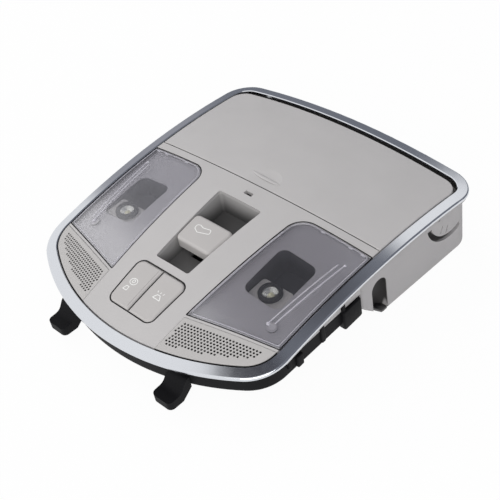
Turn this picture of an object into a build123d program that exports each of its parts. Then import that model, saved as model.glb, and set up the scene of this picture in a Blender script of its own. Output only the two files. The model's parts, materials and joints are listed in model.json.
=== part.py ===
from build123d import *
from math import cos, hypot, radians, sin, sqrt
import os

# Car overhead console: map lamps, switch pocket and sunglasses bin in one trim ring.
# Sizes are in millimetres. Plan sizes x, y and depths z are measured from the face reference point:
# x across the car, y towards the lid end, z out of the face. The base lies level on Z = 0.

# Stance of the face over the level base
face_tilt = 4.3
face_height = 51.0
hook_reach = 130.6

# Crowned face
crown_radius = 485.0
crown_y = -9.0

# Trim ring
ring_front_y = -129.5
ring_far_y = 82.6
ring_front_radius = 142.0
ring_far_bow = 0.8
ring_front_half_width = 90.6
ring_far_half_width = 94.4
ring_front_corner = 28.0
ring_far_corner = 17.0
ring_band = 6.8
ring_rise = 0.5
ring_wall = 2.0
ring_edge_round = 1.2
ring_under_round = 0.5
ring_lip_chamfer = 0.5

# Clearances
seat_gap = 0.1
seam_gap = 0.8
press_gap = 0.35
lens_gap = 0.6
running_gap = 0.06
pin_gap = 0.02
free_gap = 0.3

# Face panels and the seam between panel and lid
panel_wall = 2.5
panel_edge_round = 0.6
seam_middle_y = -3.4
seam_radius = 1115.0

# Lid hinge, tray and case
hinge_y = 48.0
hinge_z = -19.0
pin_radius = 2.0
tray_boss_length = 8.3
tray_front_y = 6.0
tray_far_y = 66.0
tray_depth = 35.0
tray_wall = 1.8
tray_corner = 9.0
hinge_boss_radius = 5.0
hinge_boss_height = 2.9
damper_radius = 5.4
damper_length = 6.5
liner_thickness = 1.5
scoop_radius = 120.0
scoop_depth = 0.5
scoop_y = 5.0
case_inset = 3.9
case_wall = 1.9
case_front_y = -22.0
case_front_corner = 2.4
case_bottom_round = 3.0
chin_y = -5.5
chin_z = -33.0
window_y = 58.5
window_z = -17.0
window_inner_radius = 19.0
window_outer_radius = 22.5
window_top_z = -21.5
window_end_y = 66.0
slit_spots = [(49.3, -29.0), (54.1, -31.8)]
slit_length = 5.0
slit_width = 1.0
slit_turn = 65.0
channel_width = 13.0
channel_depth = 8.5
channel_y = -7.0
channel_top_z = -28.5
mount_hole_radius = 2.6
mount_hole_spacing = 100.0
mount_hole_y = 58.0
brim_inset = 1.0
brim_wall = 1.8

# Latch of the lid
latch_back_y = -3.0
latch_half_width = 9.0
latch_depth = 7.6
latch_plate_height = 9.0
latch_wall = 1.6
latch_round = 0.6
striker_half_width = 5.0
striker_wall = 1.4
striker_drop = 4.0
striker_reach = 3.0

# Map lamp lens
lens_wall = 1.6
lens_edge_round = 0.7
lens_inner_front = (30.2, -94.4)
lens_inner_back = (36.6, -8.6)
lens_outer_back_y = -6.42
lens_outer_front_y = -78.35
lens_back_round = 12.0
lens_bar_start = (71.0, -72.8)
lens_bar_end = (76.4, -21.6)
lens_bar_width = 3.4
lens_bar_rise = 0.6
lens_travel = 0.6

# Reflector tray and its well
reflector_rim = 0.8
reflector_drop = 2.9
foot_gap = 0.8
reflector_wall = 1.5
well_centre = (57.7, -46.8)
well_size = (25.5, 34.5)
lamp_shift = -3.2
well_round = 5.0
well_lift = 4.2
well_wall = 1.2
well_taper = 3.0

# Map lamp light source
block_y = -55.5
block_size = (22.0, 14.0)
block_round = 2.0
block_height = 10.2
led_board_wall = 1.4
bezel_radius = 6.9
bezel_height = 2.6
bezel_round = 0.8
optic_radius = 4.8
optic_cap = 2.0
optic_depth = 4.0

# Front grilles
grille_gap = 2.0
grille_inner_x = 28.6
grille_rise = 0.3
grille_wall = 2.2
grille_flange = 0.6
grille_flange_wall = 1.2
grille_border = 1.3
grille_front_band = 3.4
grille_edge_round = 0.5
hole_radius = 0.66
hole_pitch = 1.95
felt_wall = 1.0

# Push buttons
button_front_y = -110.3
button_back_y = -81.2
button_front_x = 16.6
button_back_x = 18.6
button_round = 4.5
button_split = 0.6
button_rise = 0.6
button_height = 7.0
button_edge_round = 1.3
button_travel = 1.5
button_stem = 5.0

# Switch pocket, knob and carriage
pocket_front_y = -75.4
pocket_back_y = -18.6
pocket_front_x = 12.7
pocket_back_x = 16.6
pocket_round = 1.5
pocket_floor_z = -17.0
pocket_wall = 1.6
knob_front_y = -60.0
knob_back_y = -38.7
knob_side_gap = 0.6
knob_height = 6.6
knob_round = 3.2
knob_edge_round = 1.9
knob_lug_x = 9.5
knob_lug_wall = 2.5
knob_lug_radius = 3.2
knob_pin_z = -11.6
knob_pin_radius = 1.5
knob_slide = 3.0
carriage_half_width = 6.5
carriage_length = 9.0
carriage_top_round = 2.8
switch_body_size = (22.0, 32.0)
switch_socket_depth = 3.2

# Microphone
mic_y = -11.6
mic_slot = (6.0, 2.6)
mic_radius = 3.2
mic_height = 3.0

# Light side skirts over the housing's flanks
skirt_front_y = -84.0
skirt_z = -20.0

# Rear housing, hooks and board
housing_inset = 3.6
housing_wall = 2.0
housing_bottom_round = 2.5
housing_foot_z = -31.2
lug_y = -31.6
lug_size = (4.0, 14.8)
lug_round = 0.8
lug_foot_z = -33.0
hook_centre_x = 43.5
hook_width = 14.0
hook_clear = 5.5
hook_wall = 5.5
hook_step = 7.0
hook_bend_y = -127.0
hook_heel_y = -124.0
hook_corner = 3.0
post_radius = 3.2
post_foot_z = -23.0
post_front = (23.4, -112.6)
post_back = (26.0, -29.6)
screw_radius = 1.4
screw_head_radius = 2.8
screw_head_height = 1.8
screw_reach = 4.0
board_lift = 0.9
board_wall = 1.6
board_half_width = 56.0
board_front_y = -100.0
board_back_y = -37.0
board_post_inset = 3.5
board_post_radius = 2.5
tact_size = 6.0
tact_round = 0.6
tact_height = 3.4
tact_stem_radius = 1.6
tact_stem_height = 1.2
lens_foot_radius = 2.0
socket_at = (32.0, -70.0)
socket_size = (22.0, 12.0)
socket_wall = 1.5
socket_stand = 4.6

# Reach of construction solids beyond the piece they shape
plan_lift = 2.0
cut_reach = 70.0
cut_width = 400.0


# Frames of the face
tilt = radians(face_tilt)
crown_drop = crown_radius - sqrt(crown_radius**2 - (ring_far_y - crown_y) ** 2)
far_reach = ring_far_y * cos(tilt) + (crown_drop + ring_wall - ring_rise) * sin(tilt)
half_length = (hook_reach + far_reach) / 2
face = Plane(
    origin=(0, half_length - far_reach, face_height),
    x_dir=(1, 0, 0),
    z_dir=(0, -sin(tilt), cos(tilt)),
)
lifted = face.offset(plan_lift)
lens_outer_back = (ring_far_half_width, lens_outer_back_y)
lens_outer_front = (ring_far_half_width, lens_outer_front_y)
crown_centre = face.from_local_coords((0, crown_y, -crown_radius))


def cross_plane(x):
    """Plane across the car at x, with y along it and z up it."""
    return Plane(
        origin=face.from_local_coords((x, 0, 0)), x_dir=face.y_dir, z_dir=face.x_dir
    )


def crown(x, y):
    """Depth of the crowned face at a plan point."""
    return sqrt(crown_radius**2 - x**2 - (y - crown_y) ** 2) - crown_radius


def dome(depth):
    """Ball whose surface lies at a depth along the crowned face, with its poles at the sides."""
    return Pos(crown_centre) * Rot(0, 90, 0) * Sphere(crown_radius + depth, mode=Mode.PRIVATE)


def prism(plan, bottom_z):
    """Prism of a plan from just over the face down to a depth."""
    placed = lifted * plan
    with BuildPart() as piece:
        extrude(placed, amount=bottom_z - plan_lift)
    return piece.part


def slab(plan, top, bottom):
    """Slab of a plan between two depths along the crowned face."""
    with BuildPart() as piece:
        add(prism(plan, -cut_reach))
        add(dome(top), mode=Mode.INTERSECT)
        add(dome(bottom), mode=Mode.SUBTRACT)
    return piece.part


def standing(plan, top, height):
    """Prism of a plan from a depth along the crowned face down to a height over the base."""
    with BuildPart() as piece:
        add(prism(plan, -cut_reach))
        add(dome(top), mode=Mode.INTERSECT)
        with Locations((0, 0, height)):
            Box(
                cut_width,
                cut_width,
                cut_width,
                align=(Align.CENTER, Align.CENTER, Align.MIN),
                mode=Mode.INTERSECT,
            )
    return piece.part


def hung(plan, top, foot_z):
    """Prism of a plan from a depth along the crowned face down to a flat depth."""
    with BuildPart() as piece:
        add(prism(plan, foot_z))
        add(dome(top), mode=Mode.INTERSECT)
    return piece.part


def outline(inset):
    """Plan of the trim ring's outer edge, moved inwards by an inset."""
    front_y = ring_front_y + ring_front_radius
    front_y -= sqrt(ring_front_radius**2 - ring_front_half_width**2)
    far_y = ring_far_y - ring_far_bow
    with BuildSketch() as plan:
        with BuildLine():
            front = ThreePointArc(
                (-ring_front_half_width, front_y),
                (0, ring_front_y),
                (ring_front_half_width, front_y),
            )
            Line(front @ 1, (ring_far_half_width, far_y))
            far = ThreePointArc(
                (ring_far_half_width, far_y), (0, ring_far_y), (-ring_far_half_width, far_y)
            )
            Line(far @ 1, front @ 0)
        make_face()
        fillet(plan.vertices().sort_by(Axis.Y)[:2], ring_front_corner)
        fillet(plan.vertices().sort_by(Axis.Y)[-2:], ring_far_corner)
        if inset:
            offset(amount=-inset)
    return plan.sketch


def band(outer_inset, inner_inset):
    """Plan of the strip between two insets of the ring's outline."""
    with BuildSketch() as plan:
        add(outline(outer_inset))
        add(outline(inner_inset), mode=Mode.SUBTRACT)
    return plan.sketch


def beyond(inset):
    """Plan of everything outside an inset of the ring's outline."""
    with BuildSketch() as plan:
        Rectangle(cut_width, cut_width)
        add(outline(inset), mode=Mode.SUBTRACT)
    return plan.sketch


def half_plan(y, far_side):
    """Plan of everything on one side of a line across the console at y."""
    with BuildSketch() as plan:
        with Locations((0, y)):
            Rectangle(
                cut_width,
                cut_width,
                align=(Align.CENTER, Align.MIN if far_side else Align.MAX),
            )
    return plan.sketch


def seam_plan(gap, far_side):
    """Plan of everything on one side of the bowed seam, set back from it by a gap."""
    back = cut_width if far_side else -cut_width
    middle_y = seam_middle_y + (gap if far_side else -gap)
    end_y = middle_y + seam_radius - sqrt(seam_radius**2 - ring_far_half_width**2)
    with BuildSketch() as plan:
        with BuildLine():
            seam = ThreePointArc(
                (-ring_far_half_width, end_y), (0, middle_y), (ring_far_half_width, end_y)
            )
            Polyline(seam @ 1, ((seam @ 1).X, back), ((seam @ 0).X, back), seam @ 0)
        make_face()
    return plan.sketch


panel_inset = ring_band + seam_gap


def lens_plan(side, growth):
    """Plan of a map-lamp lens, grown all round."""
    corners = [lens_inner_front, lens_outer_front, lens_outer_back, lens_inner_back]
    with BuildSketch() as plan:
        with BuildLine():
            Polyline(*[(side * x, y) for x, y in corners], close=True)
        make_face()
        inner = plan.vertices().sort_by(Axis.X)[::side][:2].sort_by(Axis.Y)
        fillet(inner[1:], lens_back_round)
        add(beyond(panel_inset), mode=Mode.SUBTRACT)
        if growth:
            offset(amount=growth)
    return plan.sketch


def grille_plan(side, growth):
    """Plan of a front grille: a wedge beside the lens, ended by the ring's curve."""
    run = lens_outer_front[0] - lens_inner_front[0]
    rise = lens_outer_front[1] - lens_inner_front[1]
    drop = grille_gap * hypot(run, rise) / run
    back = [lens_inner_front, lens_outer_front]
    corners = [(side * x, y - drop) for x, y in back]
    corners += [(side * lens_outer_front[0], ring_front_y), (side * grille_inner_x, ring_front_y)]
    with BuildSketch() as plan:
        with BuildLine():
            Polyline(*corners, close=True)
        make_face()
        add(beyond(panel_inset), mode=Mode.SUBTRACT)
        if growth:
            offset(amount=growth)
    return plan.sketch


def buttons_plan(growth):
    """Plan of the pair of buttons as one tapered, rounded block."""
    with BuildSketch() as plan:
        with BuildLine():
            Polyline(
                (-button_front_x, button_front_y),
                (button_front_x, button_front_y),
                (button_back_x, button_back_y),
                (-button_back_x, button_back_y),
                close=True,
            )
        make_face()
        fillet(plan.vertices(), button_round)
        if growth:
            offset(amount=growth)
    return plan.sketch


def pocket_x(y):
    """Half width of the switch pocket at y."""
    share = (y - pocket_front_y) / (pocket_back_y - pocket_front_y)
    return pocket_front_x + share * (pocket_back_x - pocket_front_x)


def pocket_plan(front_y, back_y, growth, corner):
    """Plan of the tapered pocket between two lines across it, grown all round."""
    with BuildSketch() as plan:
        with BuildLine():
            Polyline(
                (-pocket_x(front_y), front_y),
                (pocket_x(front_y), front_y),
                (pocket_x(back_y), back_y),
                (-pocket_x(back_y), back_y),
                close=True,
            )
        make_face()
        if growth:
            offset(amount=growth, kind=Kind.INTERSECTION)
        fillet(plan.vertices(), corner)
    return plan.sketch


def column(at, radius, top_z, bottom_z):
    """Round column along the face's z between two depths."""
    with BuildPart() as piece:
        with BuildSketch(face.offset(bottom_z)):
            with Locations(at):
                Circle(radius)
        extrude(amount=top_z - bottom_z)
    return piece.part


def block(at, size, corner, top_z, bottom_z):
    """Upright block with rounded corners between two depths."""
    with BuildPart() as piece:
        with BuildSketch(face.offset(bottom_z)):
            with Locations(at):
                RectangleRounded(*size, corner)
        extrude(amount=top_z - bottom_z)
    return piece.part


def cross_pin(y, z, radius, start_x, end_x):
    """Round pin along x between two stations."""
    with BuildPart() as piece:
        with BuildSketch(cross_plane(start_x)):
            with Locations((y, z)):
                Circle(radius)
        extrude(amount=end_x - start_x)
    return piece.part


def leg(at, size, top_z, height):
    """Rectangular leg from a depth down to a height over the base."""
    with BuildPart() as piece:
        with BuildSketch(face.offset(top_z)):
            with Locations(at):
                Rectangle(*size)
        extrude(amount=-cut_reach)
        with Locations((0, 0, height)):
            Box(
                cut_width,
                cut_width,
                cut_width,
                align=(Align.CENTER, Align.CENTER, Align.MIN),
                mode=Mode.INTERSECT,
            )
    return piece.part


def ring_x(y):
    """Half width of the trim ring along its straight side at y."""
    front_y = ring_front_y + ring_front_radius
    front_y -= sqrt(ring_front_radius**2 - ring_front_half_width**2)
    share = (y - front_y) / (ring_far_y - ring_far_bow - front_y)
    return ring_front_half_width + share * (ring_far_half_width - ring_front_half_width)


def base_z(y):
    """Depth of the level base under a plan line at y."""
    return -(face_height + y * sin(tilt)) / cos(tilt)


def channel(side, growth):
    """Upright round-topped channel in the case's side wall near its front corner."""
    radius = channel_width / 2
    middle_x = side * (ring_x(channel_y) - case_inset + radius - channel_depth)
    with BuildPart() as piece:
        with BuildSketch(face.offset(channel_top_z)):
            with Locations((middle_x, channel_y)):
                Circle(radius + growth)
        extrude(amount=-cut_reach)
        with Locations(face.from_local_coords((middle_x, channel_y, channel_top_z))):
            Sphere(radius + growth)
    return piece.part


def well(at, growth):
    """Tapered pit of a lamp, grown all round, with a straight mouth over it."""
    mouth_z = crown(*at) - reflector_drop
    width, length = (size + 2 * growth for size in well_size)
    with BuildPart() as piece:
        with BuildSketch(face.offset(mouth_z)) as mouth:
            with Locations(at):
                RectangleRounded(width, length, well_round + growth)
        extrude(amount=well_floor_z - growth - mouth_z, taper=well_taper)
        extrude(mouth.sketch, amount=reflector_drop)
    return piece.part


def chin(gap):
    """Wedge under the sloped chin of the case, moved into the case by a gap."""
    run = chin_y - case_front_y
    foot_z = base_z(chin_y)
    drop = chin_z - foot_z
    lift = gap * hypot(run, drop) / run
    with BuildPart() as piece:
        with BuildSketch(cross_plane(-cut_width / 2)):
            with BuildLine():
                Polyline(
                    (case_front_y - run, chin_z + drop + lift),
                    (chin_y + run, foot_z - drop + lift),
                    (case_front_y - run, foot_z - drop + lift),
                    close=True,
                )
            make_face()
        extrude(amount=cut_width)
    return piece.part


def flank_plan(side, outer_inset, inner_inset, front_y):
    """Plan of a strip along one side of the housing, from a line at y back to the case."""
    with BuildSketch() as plan:
        add(band(outer_inset, inner_inset))
        add(half_plan(front_y, False), mode=Mode.SUBTRACT)
        add(half_plan(housing_back_y, True), mode=Mode.SUBTRACT)
        with Locations((-side * cut_width / 2, 0)):
            Rectangle(cut_width, cut_width, mode=Mode.SUBTRACT)
    return plan.sketch


def top_face(builder):
    """Crowned face that lies highest on a piece."""
    crowned = builder.faces().filter_by(GeomType.SPHERE)
    return crowned.sort_by(Axis(face.origin, face.z_dir))[-1]


sides = {"left": -1, "right": 1}

# Levels and stations shared by several pieces
screw_seat_z = housing_foot_z + housing_wall
board_foot_z = screw_seat_z + board_lift
board_top_z = board_foot_z + board_wall
well_floor_z = board_top_z + well_lift
block_top_z = well_floor_z + block_height
reflector_foot = -reflector_drop - reflector_wall
tub_foot_z = pocket_floor_z - pocket_wall
wall_x = ring_x(hinge_y) - case_inset
hinge_boss_face = wall_x - case_wall - hinge_boss_height
tray_half_width = hinge_boss_face - tray_boss_length
housing_back_y = case_front_y - free_gap


def finish(builder, name):
    """Label a finished piece and write it out."""
    builder.part.label = name
    export_step(builder.part, f"parts/{name}.step")


os.makedirs("parts", exist_ok=True)


# Trim ring: a crowned band with rounded outer edges
with BuildPart() as trim_ring:
    add(slab(band(0, ring_band), ring_rise, ring_rise - ring_wall))
    under = trim_ring.faces().filter_by(GeomType.SPHERE).sort_by(Axis(face.origin, face.z_dir))[0]
    fillet(under.outer_wire().edges(), ring_under_round)
    fillet(top_face(trim_ring).outer_wire().edges(), ring_edge_round)
    chamfer(top_face(trim_ring).inner_wires()[0].edges(), ring_lip_chamfer)
finish(trim_ring, "trim_ring")

# Front panel: crowned face with its openings and four screw posts behind it
with BuildSketch() as panel_plan:
    add(outline(panel_inset))
    add(seam_plan(-seam_gap / 2, True), mode=Mode.SUBTRACT)
    for side in sides.values():
        add(lens_plan(side, lens_gap), mode=Mode.SUBTRACT)
        add(grille_plan(side, seat_gap), mode=Mode.SUBTRACT)
    add(buttons_plan(press_gap), mode=Mode.SUBTRACT)
    add(pocket_plan(pocket_front_y, pocket_back_y, 0, pocket_round), mode=Mode.SUBTRACT)
    with Locations((0, mic_y)):
        Rectangle(*mic_slot, mode=Mode.SUBTRACT)
post_spots = [(side * x, y) for x, y in (post_front, post_back) for side in sides.values()]
with BuildPart() as front_panel:
    for spot in post_spots:
        add(column(spot, post_radius, plan_lift, post_foot_z))
    add(dome(-panel_wall / 2), mode=Mode.INTERSECT)
    add(slab(panel_plan.sketch, 0, -panel_wall))
    for spot in post_spots:
        add(column(spot, screw_radius, post_foot_z + screw_reach, post_foot_z), mode=Mode.SUBTRACT)
finish(front_panel, "front_panel")

# Lid: crowned panel that clears the ring as its far edge swings down behind the hinge
far_drop = crown(0, ring_far_y - panel_inset) - hinge_z
far_run = ring_far_y - panel_inset - hinge_y
swing_gap = hypot(far_run, far_drop) - far_run + free_gap
with BuildSketch() as lid_plan:
    add(outline(panel_inset))
    add(Pos(0, -swing_gap, 0) * beyond(panel_inset), mode=Mode.SUBTRACT)
    add(seam_plan(-seam_gap / 2, False), mode=Mode.SUBTRACT)
with BuildPart() as lid_panel:
    add(slab(lid_plan.sketch, 0, -panel_wall))
    fillet(top_face(lid_panel).edges(), panel_edge_round)
    with Locations(face.from_local_coords((0, scoop_y, crown(0, scoop_y) + scoop_radius - scoop_depth))):
        Sphere(scoop_radius, rotation=(0, 90, 0), mode=Mode.SUBTRACT)
finish(lid_panel, "lid_panel")

# Lid tray: bucket hung under the lid, open towards the case, with a boss for each hinge pin
with BuildSketch() as tray_plan:
    with Locations((0, (tray_front_y + tray_far_y) / 2)):
        RectangleRounded(2 * tray_half_width, tray_far_y - tray_front_y, tray_corner)
with BuildSketch() as tray_hollow:
    add(tray_plan.sketch)
    offset(amount=-tray_wall)
tray_top = -panel_wall - seat_gap
with BuildPart() as lid_tray:
    add(prism(tray_plan.sketch, -tray_depth))
    add(dome(tray_top), mode=Mode.INTERSECT)
    add(slab(tray_hollow.sketch, tray_top - tray_wall, -2 * tray_depth), mode=Mode.SUBTRACT)
    boss_start = tray_half_width - tray_wall
    damper_start = hinge_boss_face - damper_length
    add(cross_pin(hinge_y, hinge_z, hinge_boss_radius, -hinge_boss_face, -boss_start))
    add(cross_pin(hinge_y, hinge_z, hinge_boss_radius, boss_start, damper_start))
    add(
        cross_pin(hinge_y, hinge_z, pin_radius + running_gap, -hinge_boss_face, hinge_boss_face),
        mode=Mode.SUBTRACT,
    )
finish(lid_tray, "lid_tray")

# Soft pad on the tray's floor, against the back of the lid
with BuildSketch() as liner_plan:
    add(tray_hollow.sketch)
    offset(amount=-free_gap)
liner_top = tray_top - tray_wall - seat_gap
with BuildPart() as tray_liner:
    add(slab(liner_plan.sketch, liner_top, liner_top - liner_thickness))
finish(tray_liner, "tray_liner")

# Rotary damper on the tray's right-hand hinge boss
with BuildPart() as lid_damper:
    add(cross_pin(hinge_y, hinge_z, damper_radius, damper_start, hinge_boss_face))
    add(
        cross_pin(hinge_y, hinge_z, pin_radius + running_gap, damper_start, hinge_boss_face),
        mode=Mode.SUBTRACT,
    )
finish(lid_damper, "lid_damper")

# Bin case: shell on the level base, with a brim under the ring and a boss for each hinge pin
with BuildSketch() as case_plan:
    add(outline(case_inset))
    add(half_plan(case_front_y, False), mode=Mode.SUBTRACT)
    fillet(case_plan.vertices().sort_by(Axis.Y)[:2], case_front_corner)
with BuildSketch() as case_hollow:
    add(case_plan.sketch)
    offset(amount=-case_wall)
with BuildSketch() as case_brim:
    add(outline(brim_inset))
    add(half_plan(case_front_y + case_front_corner, False), mode=Mode.SUBTRACT)
    add(case_plan.sketch, mode=Mode.SUBTRACT)
case_top = ring_rise - ring_wall - seat_gap
brim_top = case_top
with BuildSketch() as front_trim:
    add(outline(ring_band))
    add(half_plan(tray_front_y, True), mode=Mode.SUBTRACT)
tub_room = pocket_plan(
    pocket_front_y, pocket_back_y, pocket_wall + free_gap, pocket_round + pocket_wall
)
with BuildPart() as case_outer:
    add(standing(case_plan.sketch, case_top, 0))
    fillet(case_outer.faces().sort_by(Axis.Z)[0].edges(), case_bottom_round)
    add(chin(0), mode=Mode.SUBTRACT)
with BuildPart() as case_room:
    add(standing(case_hollow.sketch, plan_lift, case_wall))
    add(chin(case_wall), mode=Mode.SUBTRACT)
folds = {side: channel(side, case_wall) & case_outer.part for side in sides.values()}
with BuildPart() as bin_case:
    add(case_outer.part)
    add(case_room.part, mode=Mode.SUBTRACT)
    for side in sides.values():
        add(folds[side])
        add(channel(side, 0), mode=Mode.SUBTRACT)
        boss_face = side * (hinge_boss_face + free_gap)
        add(cross_pin(hinge_y, hinge_z, hinge_boss_radius, boss_face, side * (wall_x - case_wall / 2)))
    add(slab(case_brim.sketch, brim_top, brim_top - brim_wall))
    add(slab(front_trim.sketch, plan_lift, reflector_foot - free_gap), mode=Mode.SUBTRACT)
    add(prism(tub_room, tub_foot_z - free_gap), mode=Mode.SUBTRACT)
    add(cross_pin(hinge_y, hinge_z, pin_radius + pin_gap, -wall_x, wall_x), mode=Mode.SUBTRACT)
    with BuildSketch(cross_plane(-cut_width / 2)):
        with Locations((window_y, window_z)):
            Circle(window_outer_radius)
            Circle(window_inner_radius, mode=Mode.SUBTRACT)
        with Locations((window_y, window_top_z)):
            Rectangle(
                2 * window_outer_radius,
                2 * window_outer_radius,
                align=(Align.CENTER, Align.MIN),
                mode=Mode.SUBTRACT,
            )
        with Locations((window_end_y, window_z)):
            Rectangle(
                2 * window_outer_radius,
                2 * window_outer_radius,
                align=(Align.MIN, Align.CENTER),
                mode=Mode.SUBTRACT,
            )
        with Locations(*slit_spots):
            SlotOverall(slit_length, slit_width, rotation=slit_turn)
    extrude(amount=cut_width, mode=Mode.SUBTRACT)
    with BuildSketch(Plane.XY):
        with Locations((0, mount_hole_y)):
            with GridLocations(mount_hole_spacing, 1, 2, 1):
                Circle(mount_hole_radius)
    extrude(amount=2 * case_wall, mode=Mode.SUBTRACT)
finish(bin_case, "bin_case")

# Steel hinge pins, held in the case and running in the tray
for name, side in sides.items():
    pin_start = side * (tray_half_width - tray_wall)
    with BuildPart() as hinge_pin:
        add(cross_pin(hinge_y, hinge_z, pin_radius, pin_start, side * (wall_x - free_gap)))
    finish(hinge_pin, f"hinge_pin_{name}")

# Push latch on the case's floor, open upwards for the striker
latch_front_y = latch_back_y + latch_depth
latch_top_z = -tray_depth + striker_wall
latch_middle = (0, (latch_back_y + latch_front_y) / 2)
latch_size = (2 * latch_half_width, latch_depth)
with BuildPart() as latch_body:
    add(leg(latch_middle, latch_size, latch_top_z, case_wall + seat_gap))
    jaw = (2 * (striker_half_width + free_gap), latch_depth - 2 * latch_wall)
    add(
        block(latch_middle, jaw, latch_round, latch_top_z, latch_top_z - striker_drop - latch_wall),
        mode=Mode.SUBTRACT,
    )
finish(latch_body, "latch_body")

# Striker on the tray's front wall: a blade that drops into the latch
blade_y = latch_front_y - latch_wall - free_gap - striker_wall
foot_y = tray_front_y - seat_gap
blade_foot_z = latch_top_z - striker_drop
shelf_z = latch_top_z + striker_reach
with BuildPart() as latch_striker:
    with BuildSketch(cross_plane(-striker_half_width)):
        with BuildLine():
            Polyline(
                (blade_y, blade_foot_z),
                (blade_y + striker_wall, blade_foot_z),
                (blade_y + striker_wall, shelf_z),
                (foot_y, shelf_z),
                (foot_y, shelf_z + latch_plate_height),
                (foot_y - striker_wall, shelf_z + latch_plate_height),
                (foot_y - striker_wall, shelf_z + striker_wall),
                (blade_y, shelf_z + striker_wall),
                close=True,
            )
        make_face()
    extrude(amount=2 * striker_half_width)
finish(latch_striker, "latch_striker")

# Map lamps: lens, reflector tray with its well, light source and switch, on each side
switch_top_z = board_top_z + seat_gap + tact_height + tact_stem_height
lens_reach = lens_inner_back[1] - lens_bar_start[1]
lens_foot_z = switch_top_z + lens_reach * sin(radians(lens_travel)) + free_gap
for name, side in sides.items():
    foot_at = (side * lens_bar_start[0], lens_bar_start[1])
    lens_sketch = lens_plan(side, 0)
    with BuildSketch() as bar_plan:
        with BuildLine():
            bar_line = Line(
                (side * lens_bar_start[0], lens_bar_start[1]),
                (side * lens_bar_end[0], lens_bar_end[1]),
            )
        trace(bar_line, lens_bar_width)
    with BuildPart() as lens:
        add(column(foot_at, lens_foot_radius, plan_lift, lens_foot_z))
        add(dome(-lens_wall / 2), mode=Mode.INTERSECT)
        add(slab(lens_sketch, 0, -lens_wall))
        fillet(top_face(lens).edges(), lens_edge_round)
        add(slab(bar_plan.sketch, lens_bar_rise, -lens_wall / 2))
    finish(lens, f"lens_{name}")

    rim_sketch = lens_plan(side, lens_gap + reflector_rim)
    basin_sketch = lens_plan(side, lens_gap)
    well_at = (side * well_centre[0] + lamp_shift, well_centre[1])
    with BuildPart() as reflector:
        add(well(well_at, well_wall))
        add(dome(-reflector_drop), mode=Mode.INTERSECT)
        add(slab(rim_sketch, -panel_wall - seat_gap, reflector_foot))
        add(slab(basin_sketch, plan_lift, -reflector_drop), mode=Mode.SUBTRACT)
        add(well(well_at, 0), mode=Mode.SUBTRACT)
        add(
            column(foot_at, lens_foot_radius + foot_gap, plan_lift, lens_foot_z),
            mode=Mode.SUBTRACT,
        )
    finish(reflector, f"reflector_{name}")

    lamp_at = (well_at[0], block_y)
    block_foot_z = well_floor_z + 2 * seat_gap + led_board_wall
    with BuildPart() as led_board:
        add(block(lamp_at, block_size, block_round, block_foot_z - seat_gap, well_floor_z + seat_gap))
    finish(led_board, f"led_board_{name}")

    with BuildPart() as led_block:
        add(block(lamp_at, block_size, block_round, block_top_z, block_foot_z))
        add(column(lamp_at, optic_radius + seat_gap, block_top_z, block_foot_z), mode=Mode.SUBTRACT)
    finish(led_block, f"led_block_{name}")

    bezel_foot_z = block_top_z + seat_gap
    with BuildPart() as led_bezel:
        add(column(lamp_at, bezel_radius, bezel_foot_z + bezel_height, bezel_foot_z))
        fillet(led_bezel.edges().filter_by(GeomType.CIRCLE).sort_by(Axis.Z)[-1], bezel_round)
        add(
            column(lamp_at, optic_radius + seat_gap, bezel_foot_z + bezel_height, bezel_foot_z),
            mode=Mode.SUBTRACT,
        )
    finish(led_bezel, f"led_bezel_{name}")

    with BuildPart() as led_optic:
        with BuildSketch(cross_plane(lamp_at[0])):
            with BuildLine():
                rim_z = bezel_foot_z + bezel_height / 2
                edge_y = lamp_at[1] + optic_radius
                Polyline(
                    (lamp_at[1], rim_z + optic_cap),
                    (lamp_at[1], bezel_foot_z - optic_depth),
                    (edge_y, bezel_foot_z - optic_depth),
                    (edge_y, rim_z),
                )
                RadiusArc(
                    (edge_y, rim_z),
                    (lamp_at[1], rim_z + optic_cap),
                    -(optic_radius**2 + optic_cap**2) / (2 * optic_cap),
                )
            make_face()
        revolve(axis=Axis(face.from_local_coords((*lamp_at, 0)), face.z_dir))
    finish(led_optic, f"led_optic_{name}")

    with BuildPart() as map_switch:
        tact_top_z = switch_top_z - tact_stem_height
        add(block(foot_at, (tact_size, tact_size), tact_round, tact_top_z, board_top_z + seat_gap))
        add(column(foot_at, tact_stem_radius, switch_top_z, tact_top_z))
    finish(map_switch, f"map_switch_{name}")

# Front grilles: staggered holes in rows along the lens edge, with felt behind them
row_run = lens_outer_front[0] - lens_inner_front[0]
row_rise = lens_outer_front[1] - lens_inner_front[1]
row_length = hypot(row_run, row_rise)
row_step = hole_pitch * sqrt(3) / 2
row_count = int((lens_inner_front[1] - ring_front_y) / row_step) + 1
hole_count = int(row_length / hole_pitch) + 1
field = grille_plan(sides["right"], -grille_border - hole_radius).face()
front_field = outline(panel_inset + grille_front_band + hole_radius).face()
start_y = lens_inner_front[1] - grille_gap - grille_border - hole_radius
spots = []
for row in range(row_count):
    for hole in range(-row, hole_count):
        along = (hole + row % 2 / 2) * hole_pitch / row_length
        down = row * row_step / row_length
        x = lens_inner_front[0] + along * row_run + down * row_rise
        y = start_y + along * row_rise - down * row_run
        if field.is_inside((x, y, 0)) and front_field.is_inside((x, y, 0)):
            spots.append((-x, y))
flange_top = -panel_wall - seat_gap
flange_foot = flange_top - grille_flange_wall
felt_room = grille_plan(sides["left"], -grille_border / 2)
with BuildPart() as grille_left:
    add(slab(grille_plan(sides["left"], grille_flange), flange_top, flange_foot))
    add(slab(grille_plan(sides["left"], 0), grille_rise, flange_foot))
    fillet(top_face(grille_left).edges(), grille_edge_round)
    add(slab(felt_room, grille_rise - grille_wall, -cut_reach), mode=Mode.SUBTRACT)
    with BuildSketch(lifted):
        with Locations(*spots):
            Circle(hole_radius)
    extrude(amount=-cut_reach / 2, mode=Mode.SUBTRACT)
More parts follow.
